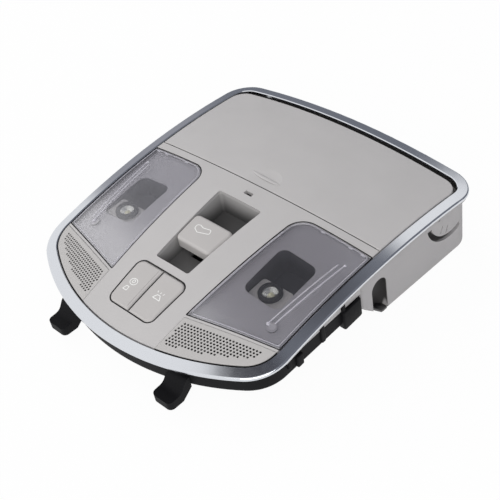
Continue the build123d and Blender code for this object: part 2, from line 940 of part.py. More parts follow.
finish(grille_left, "grille_left")

with BuildPart() as grille_right:
    mirror(grille_left.part, about=Plane.YZ)
finish(grille_right, "grille_right")

felt_top = grille_rise - grille_wall - seat_gap
for name, side in sides.items():
    felt_pad = grille_plan(side, -grille_border / 2 - seat_gap)
    with BuildPart() as acoustic_felt:
        add(slab(felt_pad, felt_top, felt_top - felt_wall))
    finish(acoustic_felt, f"acoustic_felt_{name}")

# Push buttons: two halves of one rounded block, each with a stem over its switch
button_y = (button_front_y + button_back_y) / 2
button_x = (button_front_x + button_back_x) / 4
stem_foot_z = switch_top_z + button_travel + free_gap
for name, side in sides.items():
    stem_at = (side * button_x, button_y)
    with BuildSketch() as half_button:
        add(buttons_plan(0))
        with Locations((side * button_split / 2, 0)):
            Rectangle(
                cut_width,
                cut_width,
                align=(Align.MAX if side > 0 else Align.MIN, Align.CENTER),
                mode=Mode.SUBTRACT,
            )
    with BuildPart() as button:
        add(block(stem_at, (button_stem, button_stem), button_edge_round, plan_lift, stem_foot_z))
        add(dome(button_rise - button_height / 2), mode=Mode.INTERSECT)
        add(slab(half_button.sketch, button_rise, button_rise - button_height))
        fillet(top_face(button).edges(), button_edge_round)
    finish(button, f"button_{name}")

    with BuildPart() as button_switch:
        add(block(stem_at, (tact_size, tact_size), tact_round, tact_top_z, board_top_z + seat_gap))
        add(column(stem_at, tact_stem_radius, switch_top_z, tact_top_z))
    finish(button_switch, f"button_switch_{name}")

# Switch pocket: a tub behind the panel with a slot in its floor for the carriage
knob_y = (knob_front_y + knob_back_y) / 2
knob_at = (0, knob_y)
tub_sketch = pocket_plan(pocket_front_y, pocket_back_y, pocket_wall, pocket_round + pocket_wall)
tub_hollow = pocket_plan(pocket_front_y, pocket_back_y, 0, pocket_round)
slot_size = (
    2 * (carriage_half_width + free_gap),
    carriage_length + 2 * (knob_slide + free_gap),
)
with BuildPart() as switch_tub:
    add(prism(tub_sketch, tub_foot_z))
    add(dome(-panel_wall - seat_gap), mode=Mode.INTERSECT)
    add(prism(tub_hollow, pocket_floor_z), mode=Mode.SUBTRACT)
    add(block(knob_at, slot_size, tact_round, 0, tub_foot_z), mode=Mode.SUBTRACT)
finish(switch_tub, "switch_tub")

# Sliding carriage of the knob, with its foot in the switch below
switch_body_top_z = tub_foot_z - seat_gap
carriage_foot_z = switch_body_top_z - switch_socket_depth + free_gap
with BuildPart() as sunroof_carriage:
    add(
        block(
            knob_at,
            (2 * carriage_half_width, carriage_length),
            tact_round,
            knob_pin_z - knob_pin_radius,
            carriage_foot_z,
        )
    )
    add(cross_pin(knob_y, knob_pin_z, carriage_top_round, -carriage_half_width, carriage_half_width))
    add(
        cross_pin(knob_y, knob_pin_z, knob_pin_radius + pin_gap, -carriage_half_width, carriage_half_width),
        mode=Mode.SUBTRACT,
    )
finish(sunroof_carriage, "sunroof_carriage")

# Pin that the knob rocks on
with BuildPart() as knob_pin:
    add(cross_pin(knob_y, knob_pin_z, knob_pin_radius, -knob_lug_x, knob_lug_x))
finish(knob_pin, "knob_pin")

# Knob: a crowned cap with two lugs down to its pin
knob_sketch = pocket_plan(knob_front_y, knob_back_y, -knob_side_gap, knob_round)
with BuildPart() as sunroof_knob:
    add(slab(knob_sketch, 0, -knob_height))
    fillet(top_face(sunroof_knob).edges(), knob_edge_round)
    for side in sides.values():
        lug_inner_x = side * (knob_lug_x - knob_lug_wall)
        lug_middle = (side * (knob_lug_x - knob_lug_wall / 2), knob_y)
        lug_size = (knob_lug_wall, 2 * knob_lug_radius)
        with BuildSketch(face.offset(knob_pin_z)):
            with Locations(lug_middle):
                Rectangle(*lug_size)
        extrude(amount=-knob_pin_z - knob_height / 2)
        add(cross_pin(knob_y, knob_pin_z, knob_lug_radius, lug_inner_x, side * knob_lug_x))
    add(
        cross_pin(knob_y, knob_pin_z, knob_pin_radius + running_gap, -knob_lug_x, knob_lug_x),
        mode=Mode.SUBTRACT,
    )
finish(sunroof_knob, "sunroof_knob")

# Switch worked by the carriage
with BuildPart() as sunroof_switch:
    add(block(knob_at, switch_body_size, tact_round, switch_body_top_z, board_top_z + seat_gap))
    add(
        block(knob_at, slot_size, tact_round, switch_body_top_z, switch_body_top_z - switch_socket_depth),
        mode=Mode.SUBTRACT,
    )
finish(sunroof_switch, "sunroof_switch")

# Microphone capsule behind its slot in the panel
mic_top_z = crown(mic_radius, mic_y - mic_radius) - panel_wall - seat_gap
with BuildPart() as microphone:
    add(column((0, mic_y), mic_radius, mic_top_z, mic_top_z - mic_height))
finish(microphone, "microphone")

# Circuit board and its plug socket
board_middle = (0, (board_front_y + board_back_y) / 2)
board_size = (2 * board_half_width, board_back_y - board_front_y)
with BuildPart() as circuit_board:
    add(block(board_middle, board_size, board_post_radius, board_top_z, board_foot_z))
finish(circuit_board, "circuit_board")

socket_top_z = board_foot_z - seat_gap
with BuildPart() as connector_socket:
    socket_foot_z = housing_foot_z - socket_stand
    add(block(socket_at, socket_size, tact_round, socket_top_z, socket_foot_z))
    bay = (socket_size[0] - 2 * socket_wall, socket_size[1] - 2 * socket_wall)
    add(block(socket_at, bay, tact_round, socket_top_z - socket_wall, socket_foot_z), mode=Mode.SUBTRACT)
finish(connector_socket, "connector_socket")

# Rear housing: black shell with two front hooks, board posts and screw bosses
with BuildSketch() as housing_plan:
    add(outline(housing_inset))
    add(half_plan(housing_back_y, True), mode=Mode.SUBTRACT)
    fillet(housing_plan.vertices().sort_by(Axis.Y)[-2:], case_front_corner)
housing_open = outline(housing_inset + housing_wall)
with BuildSketch() as housing_hollow:
    add(housing_plan.sketch)
    offset(amount=-housing_wall)
with BuildSketch() as housing_brim:
    add(outline(brim_inset))
    add(half_plan(housing_back_y, True), mode=Mode.SUBTRACT)
    add(housing_plan.sketch, mode=Mode.SUBTRACT)
board_posts = [
    (side * (board_half_width - board_post_inset), y)
    for side in sides.values()
    for y in (board_front_y + board_post_inset, board_back_y - board_post_inset)
]
housing_radius = ring_front_radius - housing_inset - housing_wall
hook_root_y = ring_front_y + ring_front_radius - sqrt(housing_radius**2 - hook_centre_x**2)
hook_tongue_z = base_z(ring_front_y) + hook_clear + hook_wall
hook_tip_y = (hook_tongue_z * sin(tilt) - hook_reach) / cos(tilt)


def hook(side):
    """Front hook: an S-curved tongue with rounded corners at its tip."""
    root = (hook_root_y, hook_tongue_z + hook_step)
    bend = (hook_bend_y, hook_tongue_z)
    with BuildSketch() as tongue:
        with Locations((side * hook_centre_x, hook_tip_y)):
            RectangleRounded(
                hook_width, hook_width + hook_reach, hook_corner, align=(Align.CENTER, Align.MIN)
            )
    with BuildPart() as piece:
        with BuildSketch(cross_plane(side * hook_centre_x - hook_width / 2)):
            with BuildLine():
                Spline(root, bend, tangents=((-1, 0), (-1, 0)))
                Polyline(
                    bend,
                    (hook_tip_y, hook_tongue_z),
                    (hook_tip_y, base_z(hook_tip_y) + hook_clear),
                    (hook_heel_y, base_z(hook_heel_y) + hook_clear),
                    (hook_root_y, housing_foot_z),
                    root,
                )
            make_face()
        extrude(amount=hook_width)
        add(prism(tongue.sketch, -cut_reach), mode=Mode.INTERSECT)
    return piece.part


housing_inner = housing_inset + housing_wall
with BuildPart() as housing_room:
    add(hung(housing_hollow.sketch, plan_lift, screw_seat_z))
    floor_edges = housing_room.faces().sort_by(Axis(face.origin, face.z_dir))[0].edges()
    fillet(floor_edges, housing_bottom_round - housing_wall)
with BuildPart() as rear_housing:
    add(hung(housing_plan.sketch, brim_top, housing_foot_z))
    foot_edges = rear_housing.faces().sort_by(Axis(face.origin, face.z_dir))[0].edges()
    fillet(foot_edges, housing_bottom_round)
    add(housing_room.part, mode=Mode.SUBTRACT)
    add(slab(housing_brim.sketch, brim_top, brim_top - brim_wall))
    add(slab(housing_open, plan_lift, reflector_foot - free_gap), mode=Mode.SUBTRACT)
    add(prism(tub_room, tub_foot_z - free_gap), mode=Mode.SUBTRACT)
    for side in sides.values():
        flank = flank_plan(side, 0, housing_inner + free_gap, skirt_front_y)
        add(prism(flank, skirt_z), mode=Mode.SUBTRACT)
        lug_at = (side * (ring_x(lug_y) - housing_inset), lug_y)
        add(block(lug_at, lug_size, lug_round, skirt_z, lug_foot_z))
        pillar_at = (side * lens_bar_start[0], lens_bar_start[1])
        pillar_size = (tact_size + housing_wall, tact_size + housing_wall)
        add(block(pillar_at, pillar_size, tact_round, board_top_z, housing_foot_z))
    for spot in board_posts:
        size = (2 * board_post_radius, 2 * board_post_radius)
        add(block(spot, size, tact_round, board_foot_z - seat_gap, housing_foot_z))
    for spot in post_spots:
        size = (2 * post_radius, 2 * post_radius)
        add(block(spot, size, tact_round, post_foot_z - seat_gap, housing_foot_z))
    for spot in post_spots:
        add(column(spot, screw_radius, post_foot_z, screw_seat_z), mode=Mode.SUBTRACT)
        head_hole = screw_head_radius + free_gap
        add(column(spot, head_hole, screw_seat_z, housing_foot_z), mode=Mode.SUBTRACT)
    window = (socket_size[0] + 2 * free_gap, socket_size[1] + 2 * free_gap)
    add(block(socket_at, window, tact_round, socket_top_z, housing_foot_z), mode=Mode.SUBTRACT)
    for side in sides.values():
        add(hook(side))
finish(rear_housing, "rear_housing")

# Side skirts: light strips between the ring and the housing's lowered flanks
for name, side in sides.items():
    skirt_end_y = skirt_front_y + free_gap
    with BuildPart() as panel_skirt:
        add(prism(flank_plan(side, housing_inset, housing_inner, skirt_end_y), skirt_z + seat_gap))
        add(dome(brim_top), mode=Mode.INTERSECT)
        skirt_brim = flank_plan(side, brim_inset, housing_inset, skirt_end_y)
        add(slab(skirt_brim, brim_top, brim_top - brim_wall))
    finish(panel_skirt, f"panel_skirt_{name}")

# Screws from behind, through the housing into the panel's posts
with BuildPart() as housing_screws:
    for spot in post_spots:
        tip_z = post_foot_z + screw_reach - free_gap
        add(column(spot, screw_radius - seat_gap, tip_z, screw_seat_z))
        add(column(spot, screw_head_radius, screw_seat_z, screw_seat_z - screw_head_height))
finish(housing_screws, "housing_screws")
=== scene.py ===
"""Dressed model of a car overhead console: map lamps, switch pocket and bin in a plated ring."""

import functools
import json
import logging
import math
from dataclasses import dataclass, field
from enum import Enum
from typing import Any, Sequence, Union

import bmesh
import bpy
import numpy as np
from mathutils import Matrix, Vector

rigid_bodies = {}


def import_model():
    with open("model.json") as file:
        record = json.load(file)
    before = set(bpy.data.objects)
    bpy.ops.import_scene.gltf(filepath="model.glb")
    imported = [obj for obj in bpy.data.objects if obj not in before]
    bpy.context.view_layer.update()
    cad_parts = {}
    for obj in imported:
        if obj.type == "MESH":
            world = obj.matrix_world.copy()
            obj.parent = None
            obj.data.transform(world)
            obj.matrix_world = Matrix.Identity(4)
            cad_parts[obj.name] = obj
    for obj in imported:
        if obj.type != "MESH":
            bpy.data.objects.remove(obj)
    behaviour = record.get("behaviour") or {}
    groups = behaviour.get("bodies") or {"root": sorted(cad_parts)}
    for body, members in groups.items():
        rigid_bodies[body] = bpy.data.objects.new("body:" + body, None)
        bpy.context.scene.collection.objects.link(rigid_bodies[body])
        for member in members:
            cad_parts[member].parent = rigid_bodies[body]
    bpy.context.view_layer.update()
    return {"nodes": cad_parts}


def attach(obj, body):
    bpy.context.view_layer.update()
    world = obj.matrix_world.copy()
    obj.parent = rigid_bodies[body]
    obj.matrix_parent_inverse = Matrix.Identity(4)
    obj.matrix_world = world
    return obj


for stray in list(bpy.data.objects):
    bpy.data.objects.remove(stray)
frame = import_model()

LOG = logging.getLogger("overhead_console")
MM = 0.001
MERGE = 1e-7  # metres: points closer than this become one
SINK = 0.1  # millimetres that the foot of a bead or dome goes below the surface that carries it
NOISE_MEAN = 0.5
TOOTH_FOOT = 0.3  # share of a toothed bead's height that stays between its teeth
FEWEST_STEPS = 4
ARC_POINTS = 13
BEAD_POINTS = 10
DOME_ROWS, DOME_POINTS = 7, 16

Colour = tuple[float, float, float]
Way = tuple[float, float, float]
Line = tuple[float, float, float]  # width or radius, height, and rise of the carrying surface
Pair = tuple[float, float]
Rows = tuple[Pair, ...]
WHITE: Colour = (1.0, 1.0, 1.0)


@dataclass(frozen=True)
class CrownedFace:
    """The console's crowned, tilted face; plan x and y and depth z are in millimetres."""

    origin_y: float = 23.7328
    origin_z: float = 51.0
    tilt: float = math.radians(4.3)
    radius: float = 485.0
    middle_y: float = -9.0

    def lean(self) -> np.ndarray:
        """Matrix of the face's tilt about x.

        Returns:
            Three rows: x stays, and y and z turn by the tilt's cosine and sine.
        """
        c, s = math.cos(self.tilt), math.sin(self.tilt)
        return np.array([[1, 0, 0], [0, c, -s], [0, s, c]])

    def turned(self, points: np.ndarray) -> np.ndarray:
        """Points of the face's frame, tilted about x and lifted into the model's frame.

        Args:
            points: Rows of x, y, z in millimetres.

        Returns:
            Rows of x, y, z in metres.
        """
        return (points @ self.lean().T + np.array([0, self.origin_y, self.origin_z])) * MM

    def over(self, plan: np.ndarray, rise: Union[float, np.ndarray]) -> np.ndarray:
        """Points over plan points, on balls about the same centre as the face.

        The depth is the root of (R + rise) squared less the squared plan distance from the crown's
        middle, less R.

        Args:
            plan: Rows of x, y.
            rise: Height over the face, one for all or one for each row.

        Returns:
            Rows of x, y, z in metres.
        """
        reach = plan[..., 0] ** 2 + (plan[..., 1] - self.middle_y) ** 2
        z = np.sqrt((self.radius + rise) ** 2 - reach) - self.radius
        return self.turned(np.concatenate([plan, z[..., None]], axis=-1))

    def centre(self) -> tuple[float, float, float]:
        """Centre of the ball that the face is part of, in metres."""
        return tuple(self.turned(np.array([0.0, self.middle_y, -self.radius])).tolist())


FACE = CrownedFace()


class Side(Enum):
    """Which half of the console a piece belongs to."""

    LEFT = -1
    RIGHT = 1

    @property
    def word(self) -> str:
        """Lower-case word used in the node names."""
        return self.name.lower()


class Value:
    """A shader value: a node socket that takes part in Python arithmetic."""

    def __init__(self, paint: "Paint", socket: bpy.types.NodeSocket) -> None:
        """Keep the socket and the node tree it belongs to."""
        self.paint = paint
        self.socket = socket

    def _math(self, operation: str, first: Any, second: Any) -> "Value":
        """Add a Math node for one operation on two values."""
        return self.paint.node("ShaderNodeMath", {"operation": operation}, {0: first, 1: second})

    def __add__(self, other: Any) -> "Value":
        """Sum."""
        return self._math("ADD", self, other)

    def __radd__(self, other: Any) -> "Value":
        """Sum with a number in front."""
        return self._math("ADD", other, self)

    def __sub__(self, other: Any) -> "Value":
        """Difference."""
        return self._math("SUBTRACT", self, other)

    def __rsub__(self, other: Any) -> "Value":
        """Difference with a number in front."""
        return self._math("SUBTRACT", other, self)

    def __mul__(self, other: Any) -> "Value":
        """Product."""
        return self._math("MULTIPLY", self, other)

    def __rmul__(self, other: Any) -> "Value":
        """Product with a number in front."""
        return self._math("MULTIPLY", other, self)

    def __pow__(self, other: Any) -> "Value":
        """Power."""
        return self._math("POWER", self, other)

    def __abs__(self) -> "Value":
        """Size without the sign."""
        return self.paint.node("ShaderNodeMath", {"operation": "ABSOLUTE"}, {0: self})

    def above(self, edge: float, soft: float) -> "Value":
        """Smooth step from 0 to 1 around an edge.

        Args:
            edge: Value at the middle of the step.
            soft: Half width of the step.

        Returns:
            The stepped value.
        """
        return self.paint.node(
            "ShaderNodeMapRange",
            {"interpolation_type": "SMOOTHSTEP"},
            {"Value": self, "From Min": edge - soft, "From Max": edge + soft},
        )

    def past(self, step: Pair) -> "Value":
        """Smooth step at an edge with a half width, both in millimetres."""
        return self.above(step[0] * MM, step[1] * MM)


def opaque(given: Any) -> Any:
    """A colour of three parts with an alpha of 1 added, or anything else as it is."""
    return (*given, 1.0) if isinstance(given, tuple) and len(given) == 3 else given


def shaded(colour: Colour, share: float) -> Colour:
    """A darker or paler colour: each part times the share, at most 1."""
    return tuple(min(1.0, part * share) for part in colour)


class Paint:
    """One shader node tree, of a material or of the world."""

    def __init__(self, name: str, world: bool = False) -> None:
        """Make an empty tree with its output.

        Args:
            name: Name of the material or world.
            world: Whether the tree is a world's.
        """
        self.owner = bpy.data.worlds.new(name) if world else bpy.data.materials.new(name)
        self.owner.use_nodes = True
        self.tree = self.owner.node_tree
        self.tree.nodes.clear()
        kind = "ShaderNodeOutputWorld" if world else "ShaderNodeOutputMaterial"
        self.output = self.tree.nodes.new(kind)

    def node(
        self,
        kind: str,
        settings: Union[dict[str, Any], None] = None,
        inputs: Union[dict[Any, Any], None] = None,
        output: Union[int, str] = 0,
    ) -> Value:
        """Add a node, set it up and link it.

        Args:
            kind: Blender's type name of the node.
            settings: Attributes of the node, set first.
            inputs: Numbers, colours or values for its sockets.
            output: Which output to hand back.

        Returns:
            The chosen output as a value.
        """
        made = self.tree.nodes.new(kind)
        for key, setting in (settings or {}).items():
            setattr(made, key, setting)
        for key, given in (inputs or {}).items():
            if isinstance(given, Value):
                self.tree.links.new(given.socket, made.inputs[key])
            else:
                made.inputs[key].default_value = given
        return Value(self, made.outputs[output])

    def close(self, shader: Value) -> Any:
        """Link the last shader to the output.

        Args:
            shader: Shader for the surface.

        Returns:
            The finished material or world.
        """
        self.tree.links.new(shader.socket, self.output.inputs["Surface"])
        return self.owner

    def place(self) -> Value:
        """Object coordinates, in metres."""
        return self.node("ShaderNodeTexCoord", output="Object")

    def depth(self) -> Value:
        """Height over the crowned face in metres, negative behind it.

        Returns:
            The distance to the ball's centre less the ball's radius.
        """
        away = self.node(
            "ShaderNodeVectorMath",
            {"operation": "DISTANCE"},
            {0: self.place(), 1: FACE.centre()},
            output="Value",
        )
        return away - FACE.radius * MM

    def noise(self, scale: float, detail: float = 3.0, rough: float = 0.55) -> Value:
        """Cloudy noise in object space.

        Args:
            scale: Clouds per metre.
            detail: Octaves.
            rough: Share that each finer octave keeps.

        Returns:
            The noise, about 0.5 in the mean.
        """
        return self.node(
            "ShaderNodeTexNoise",
            None,
            {"Vector": self.place(), "Scale": scale, "Detail": detail, "Roughness": rough},
        )

    def blend(self, factor: Any, first: Any, second: Any) -> Value:
        """Mix two colours.

        Args:
            factor: Share of the second colour.
            first: Colour at 0.
            second: Colour at 1.

        Returns:
            The mixed colour.
        """
        # Sockets 0, 6 and 7 and output 2 are those of the node's colour form.
        return self.node(
            "ShaderNodeMix",
            {"data_type": "RGBA"},
            {0: factor, 6: opaque(first), 7: opaque(second)},
            output=2,
        )

    def bump(self, height: Value, distance: float) -> Value:
        """Normal of a bumpy surface.

        Args:
            height: Height from 0 to 1.
            distance: Depth of the bumps in metres.

        Returns:
            The normal.
        """
        inputs = {"Height": height, "Distance": distance, "Strength": 1.0}
        return self.node("ShaderNodeBump", None, inputs)

    def principled(self, inputs: dict[str, Any]) -> Value:
        """Add a Principled shader.

        Args:
            inputs: Values for the shader's sockets.

        Returns:
            The shader.
        """
        fixed = {key: opaque(given) for key, given in inputs.items()}
        return self.node("ShaderNodeBsdfPrincipled", None, fixed)


@dataclass(frozen=True)
class GrainedPlastic:
    """Moulded plastic with a fine grain and a faint cloudiness."""

    name: str
    colour: Colour
    rough: float = 0.5
    grain: float = 1500.0
    depth: float = 0.00003
    cloud: float = 0.05
    gloss: float = 0.45
    clouds: float = 40.0
    drift: float = 0.12

    def base(self, paint: Paint) -> Value:
        """Base colour: two near shades, mixed by soft clouds.

        Args:
            paint: Node tree to work in.

        Returns:
            The colour.
        """
        dark, pale = (shaded(self.colour, 1.0 + sign * self.cloud) for sign in (-1, 1))
        return paint.blend(paint.noise(self.clouds), dark, pale)

    def material(self) -> bpy.types.Material:
        """Clouds drift the colour; a fine noise gives the grain and varies the roughness.

        Returns:
            The material.
        """
        paint = Paint(self.name)
        fine = paint.noise(self.grain, detail=2.0)
        inputs = {
            "Base Color": self.base(paint),
            "Roughness": self.rough + (fine - NOISE_MEAN) * self.drift,
            "Specular IOR Level": self.gloss,
            "Normal": paint.bump(fine, self.depth),
        }
        return paint.close(paint.principled(inputs))


@dataclass(frozen=True)
class CasePlastic(GrainedPlastic):
    """Plastic of the bin's case, with painted shade in the wiring channels of its flanks and inside its
    rim round the lid's gap.

    The pairs are an edge and the half width of the change there, in millimetres.
    """

    # Near-black painted shade for the channels and the inside of the rim.
    hollow: Colour = (0.045, 0.043, 0.043)
    middle: float = 19.0
    half_width: Pair = (7.6, 0.2)
    inner: Pair = (74.0, 1.0)
    outer: Pair = (88.1, 0.3)
    rim: Pair = (-7.0, 1.0)
    rim_half: Pair = (87.6, 0.3)
    rim_back: Pair = (103.5, 0.5)

    def base(self, paint: Paint) -> Value:
        """Painted shade where the distance from the middle plane and the place along the car are in the
        channel.

        The rim gets painted shade too: less than its depth behind the face, inside the outer walls.

        Args:
            paint: Node tree to work in.

        Returns:
            The colour.
        """
        across, along = (
            paint.node("ShaderNodeSeparateXYZ", None, {0: paint.place()}, output=axis) for axis in "XY"
        )
        across, off = abs(across), abs(along - self.middle * MM)
        channel = across.past(self.inner) * (1.0 - across.past(self.outer))
        channel = channel * (1.0 - off.past(self.half_width))
        within = (1.0 - across.past(self.rim_half)) * (1.0 - along.past(self.rim_back))
        rim = paint.depth().past(self.rim) * within
        # The channels and the inside of the rim get the painted shade.
        return paint.blend(channel + rim - channel * rim, super().base(paint), self.hollow)


@dataclass(frozen=True)
class SatinMetal:
    """Metal or plating with a soft sheen."""

    name: str
    colour: Colour
    rough: float = 0.13
    tint: float = 0.94
    clouds: float = 30.0
    haze: float = 300.0
    drift: float = 0.05

    def material(self) -> bpy.types.Material:
        """Soft clouds tint the colour and a finer haze varies the roughness.

        Returns:
            The material.
        """
        paint = Paint(self.name)
        haze = paint.noise(self.haze, detail=2.0)
        dark = shaded(self.colour, self.tint)
        inputs = {
            "Base Color": paint.blend(paint.noise(self.clouds), dark, self.colour),
            "Metallic": 1.0,
            "Roughness": self.rough + (haze - NOISE_MEAN) * self.drift,
        }
        return paint.close(paint.principled(inputs))


@dataclass(frozen=True)
class ClearPlastic:
    """Clear moulded plastic: a tinted see-through body under a polished skin."""

    name: str
    colour: Colour
    body: float = 0.012
    gloss: float = 0.18
    rough: float = 0.15
    tint: float = 0.95
    clouds: float = 25.0
    drift: float = 0.16
    haze: float = 0.03
    power: float = 5.0
    edge: float = 0.4
    body_rough: float = 0.3
    skin: Colour = (0.95, 0.95, 0.97)

    def material(self) -> bpy.types.Material:
        """The skin mirrors more towards grazing: a floor plus a power of the facing share.

        Returns:
            The material.
        """
        paint = Paint(self.name)
        facing = paint.node("ShaderNodeLayerWeight", None, {"Blend": 0.5}, output="Facing")
        grazing = facing**self.power
        clouds = paint.noise(self.clouds)
        body = paint.principled(
            {
                "Base Color": paint.blend(clouds, shaded(self.colour, self.tint), self.colour),
                "Roughness": self.body_rough,
                "Specular IOR Level": 0.0,
                "Alpha": self.body * (1.0 + (clouds - NOISE_MEAN) * self.drift) + grazing * self.edge,
            }
        )
        skin = paint.principled(
            {"Base Color": self.skin, "Metallic": 1.0, "Roughness": self.rough + clouds * self.haze}
        )
        mirror = self.gloss + grazing * (1.0 - self.gloss)
        return paint.close(paint.node("ShaderNodeMixShader", None, {0: mirror, 1: body, 2: skin}))


@dataclass(frozen=True)
class SunkPlastic(GrainedPlastic):
    """Plastic in bands of colour that change over at depths behind the face; the pocket's and the
    grille's darker deep bands are painted shade.

    Its own colour is the lowest. Each band above it gives its colour, and the depth it starts at with
    the half width of the change, in millimetres.
    """

    grain: float = 1200.0
    depth: float = 0.00002
    drift: float = 0.1
    bands: tuple[tuple[Colour, Pair], ...] = ()

    def base(self, paint: Paint) -> Value:
        """Smooth steps of the depth behind the face pick the colour.

        Args:
            paint: Node tree to work in.

        Returns:
            The colour.
        """
        depth = paint.depth()
        colour: Any = self.colour
        for tone, start in self.bands:
            colour = paint.blend(depth.past(start), colour, tone)
        return colour


@dataclass(frozen=True)
class Felt:
    """Pressed fibre pad."""

    name: str
    colour: Colour
    fibre: float = 2200.0
    shade: float = 0.6
    rough: float = 0.95
    depth: float = 0.0003

    def material(self) -> bpy.types.Material:
        """Noise of many octaves gives tangled fibres.

        Returns:
            The material.
        """
        paint = Paint(self.name)
        fibres = paint.noise(self.fibre, detail=4.0, rough=0.7)
        inputs = {
            "Base Color": paint.blend(fibres, shaded(self.colour, self.shade), self.colour),
            "Roughness": self.rough,
            "Normal": paint.bump(fibres, self.depth),
        }
        return paint.close(paint.principled(inputs))


@dataclass(frozen=True)
class BoardResist:
    """Printed board with a faint pattern of tracks under its resist."""

    name: str
    colour: Colour
    track: Colour
    cells: float = 260.0
    edge: Pair = (0.45, 0.03)
    rough: float = 0.4
    polish: float = 0.1
    depth: float = 0.00003

    def material(self) -> bpy.types.Material:
        """A grid of cells, thresholded, gives tracks a shade paler than the ground.

        Returns:
            The material.
        """
        paint = Paint(self.name)
        cells = paint.node(
            "ShaderNodeTexVoronoi",
            {"distance": "MANHATTAN"},
            {"Vector": paint.place(), "Scale": self.cells},
        )
        tracks = cells.above(*self.edge)
        inputs = {
            "Base Color": paint.blend(tracks, self.colour, self.track),
            "Roughness": self.rough - tracks * self.polish,
            "Normal": paint.bump(tracks, self.depth),
        }
        return paint.close(paint.principled(inputs))


CASE_TONE: Colour = (0.44, 0.425, 0.425)
TRAY_TONE: Colour = (0.36, 0.345, 0.375)
PANEL = GrainedPlastic("panel_grey", (0.50, 0.485, 0.48), 0.52)
BUTTON = GrainedPlastic("button_grey", (0.475, 0.455, 0.445), 0.45, 1900.0, 0.00002)
CASE = CasePlastic("case_grey", CASE_TONE, 0.5, 900.0, 0.00004)
TRAY = GrainedPlastic("tray_grey", CASE_TONE, 0.5, 900.0, 0.00004)
LAMP_BLOCK = GrainedPlastic("lamp_block_grey", (0.42, 0.40, 0.40), 0.5)
BLACK = GrainedPlastic("black_plastic", (0.007, 0.007, 0.008), 0.55, 800.0, 0.00004, gloss=0.09)
# Dark grey for the painted shade of the fine groove on the left button.
GROOVE_SHADE = GrainedPlastic("groove_grey", (0.16, 0.15, 0.145), 0.6)
# Near black for the painted shade in the gaps round the lenses and the buttons and in the lid's seam.
GAP_SHADE = GrainedPlastic("gap_black", (0.012, 0.012, 0.013), 0.8, gloss=0.1)
TRAY_CAP = GrainedPlastic("tray_violet", TRAY_TONE, 0.34)
INK = GrainedPlastic("white_ink", (0.82, 0.82, 0.80), 0.6, cloud=0.08)
CHIP = GrainedPlastic("lamp_chip", (0.80, 0.76, 0.50), 0.4, 2500.0, 0.00006)
RING = SatinMetal("satin_plating", (0.70, 0.72, 0.76))
STEEL = SatinMetal("bright_steel", (0.55, 0.55, 0.56), 0.3)
CUP = SatinMetal("lamp_cup", (0.80, 0.80, 0.77), 0.18)
LENS = ClearPlastic("clear_lens", (0.62, 0.60, 0.66))
LENS_EDGE = ClearPlastic("clear_lens_edge", (0.78, 0.76, 0.83), 0.3, 0.04, 0.3)
OPTIC = ClearPlastic("clear_optic", (0.9, 0.9, 0.86), 0.06, 0.1, 0.03)
LAMP_TRAY = SunkPlastic(
    "lamp_tray",
    (0.012, 0.012, 0.014),
    0.34,
    bands=(
        ((0.055, 0.054, 0.06), (-9.0, 5.5)),
        (TRAY_TONE, (-3.3, 0.12)),
        ((0.04, 0.039, 0.045), (-2.77, 0.05)),
    ),
)
# The tub's grey darkens over 16 mm of depth to near black: painted shade down its walls to its floor.
POCKET = SunkPlastic(
    "pocket_grey", (0.085, 0.083, 0.083), gloss=0.3, bands=(((0.42, 0.41, 0.405), (-9.5, 8.0)),)
)
# Near black deeper than about 0.2 mm: painted shade in the grille's holes.
GRILLE = SunkPlastic(
    "grille_grey", (0.015, 0.015, 0.016), bands=(((0.47, 0.455, 0.445), (-0.2, 0.1)),)
)
FELT = Felt("black_felt", (0.02, 0.02, 0.022))
BOARD = BoardResist("board_resist", (0.02, 0.10, 0.05), (0.044, 0.18, 0.095))


@functools.cache
def material_of(finish: Any) -> bpy.types.Material:
    """Material of a finish, made on first use and then shared."""
    return finish.material()


def placed(name: str, data: bpy.types.ID) -> bpy.types.Object:
    """Put a new object into the scene, at the origin.

    Args:
        name: Name of the object.
        data: Its mesh, lamp or camera.

    Returns:
        The object.
    """
    made = bpy.data.objects.new(name, data)
    bpy.context.scene.collection.objects.link(made)
    return made


@dataclass(frozen=True)
class Surface:
    """A grid of points in metres whose columns close on themselves, and whose rows may."""

    points: np.ndarray
    closed: bool = False

    def quads(self, start: int) -> np.ndarray:
        """Corner numbers of the faces between neighbours.

        Point (i, j) has the number start + i * columns + j, and each face joins (i, j), (i + 1, j),
        (i + 1, j + 1) and (i, j + 1).

        Args:
            start: Number of the grid's first point.

        Returns:
            Rows of four numbers.
        """
        rows, columns = self.points.shape[:2]
        i = np.arange(rows if self.closed else rows - 1)[:, None]
        j = np.arange(columns)[None, :]
        ahead, beside = (i + 1) % rows, (j + 1) % columns
        corners = (i * columns + j, ahead * columns + j, ahead * columns + beside, i * columns + beside)
        return start + np.stack(np.broadcast_arrays(*corners), axis=-1).reshape(-1, 4)


def assemble(name: str, surfaces: Sequence[Surface], finish: Any, body: str) -> None:
    """Make one piece of several surfaces and let it ride on a body.

    Args:
        name: Name of the piece.
        surfaces: Its surfaces.
        finish: Its finish.
        body: Body that carries it.
    """
    sizes = [surface.points.shape[0] * surface.points.shape[1] for surface in surfaces]
    starts = np.concatenate([[0], np.cumsum(sizes)[:-1]]).astype(int).tolist()
    points = np.concatenate([surface.points.reshape(-1, 3) for surface in surfaces])
    faces = np.concatenate([surface.quads(start) for surface, start in zip(surfaces, starts)])
    mesh = bpy.data.meshes.new(name)
    mesh.from_pydata(points.tolist(), [], faces.tolist())
    work = bmesh.new()
    work.from_mesh(mesh)
    bmesh.ops.remove_doubles(work, verts=work.verts, dist=MERGE)
    bmesh.ops.recalc_face_normals(work, faces=work.faces)
    work.to_mesh(mesh)
    work.free()
    mesh.shade_smooth()
    mesh.materials.append(material_of(finish))
    made = placed(name, mesh)
    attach(made, body)
    LOG.info("%s rides on %s, %d faces", name, body, len(mesh.polygons))


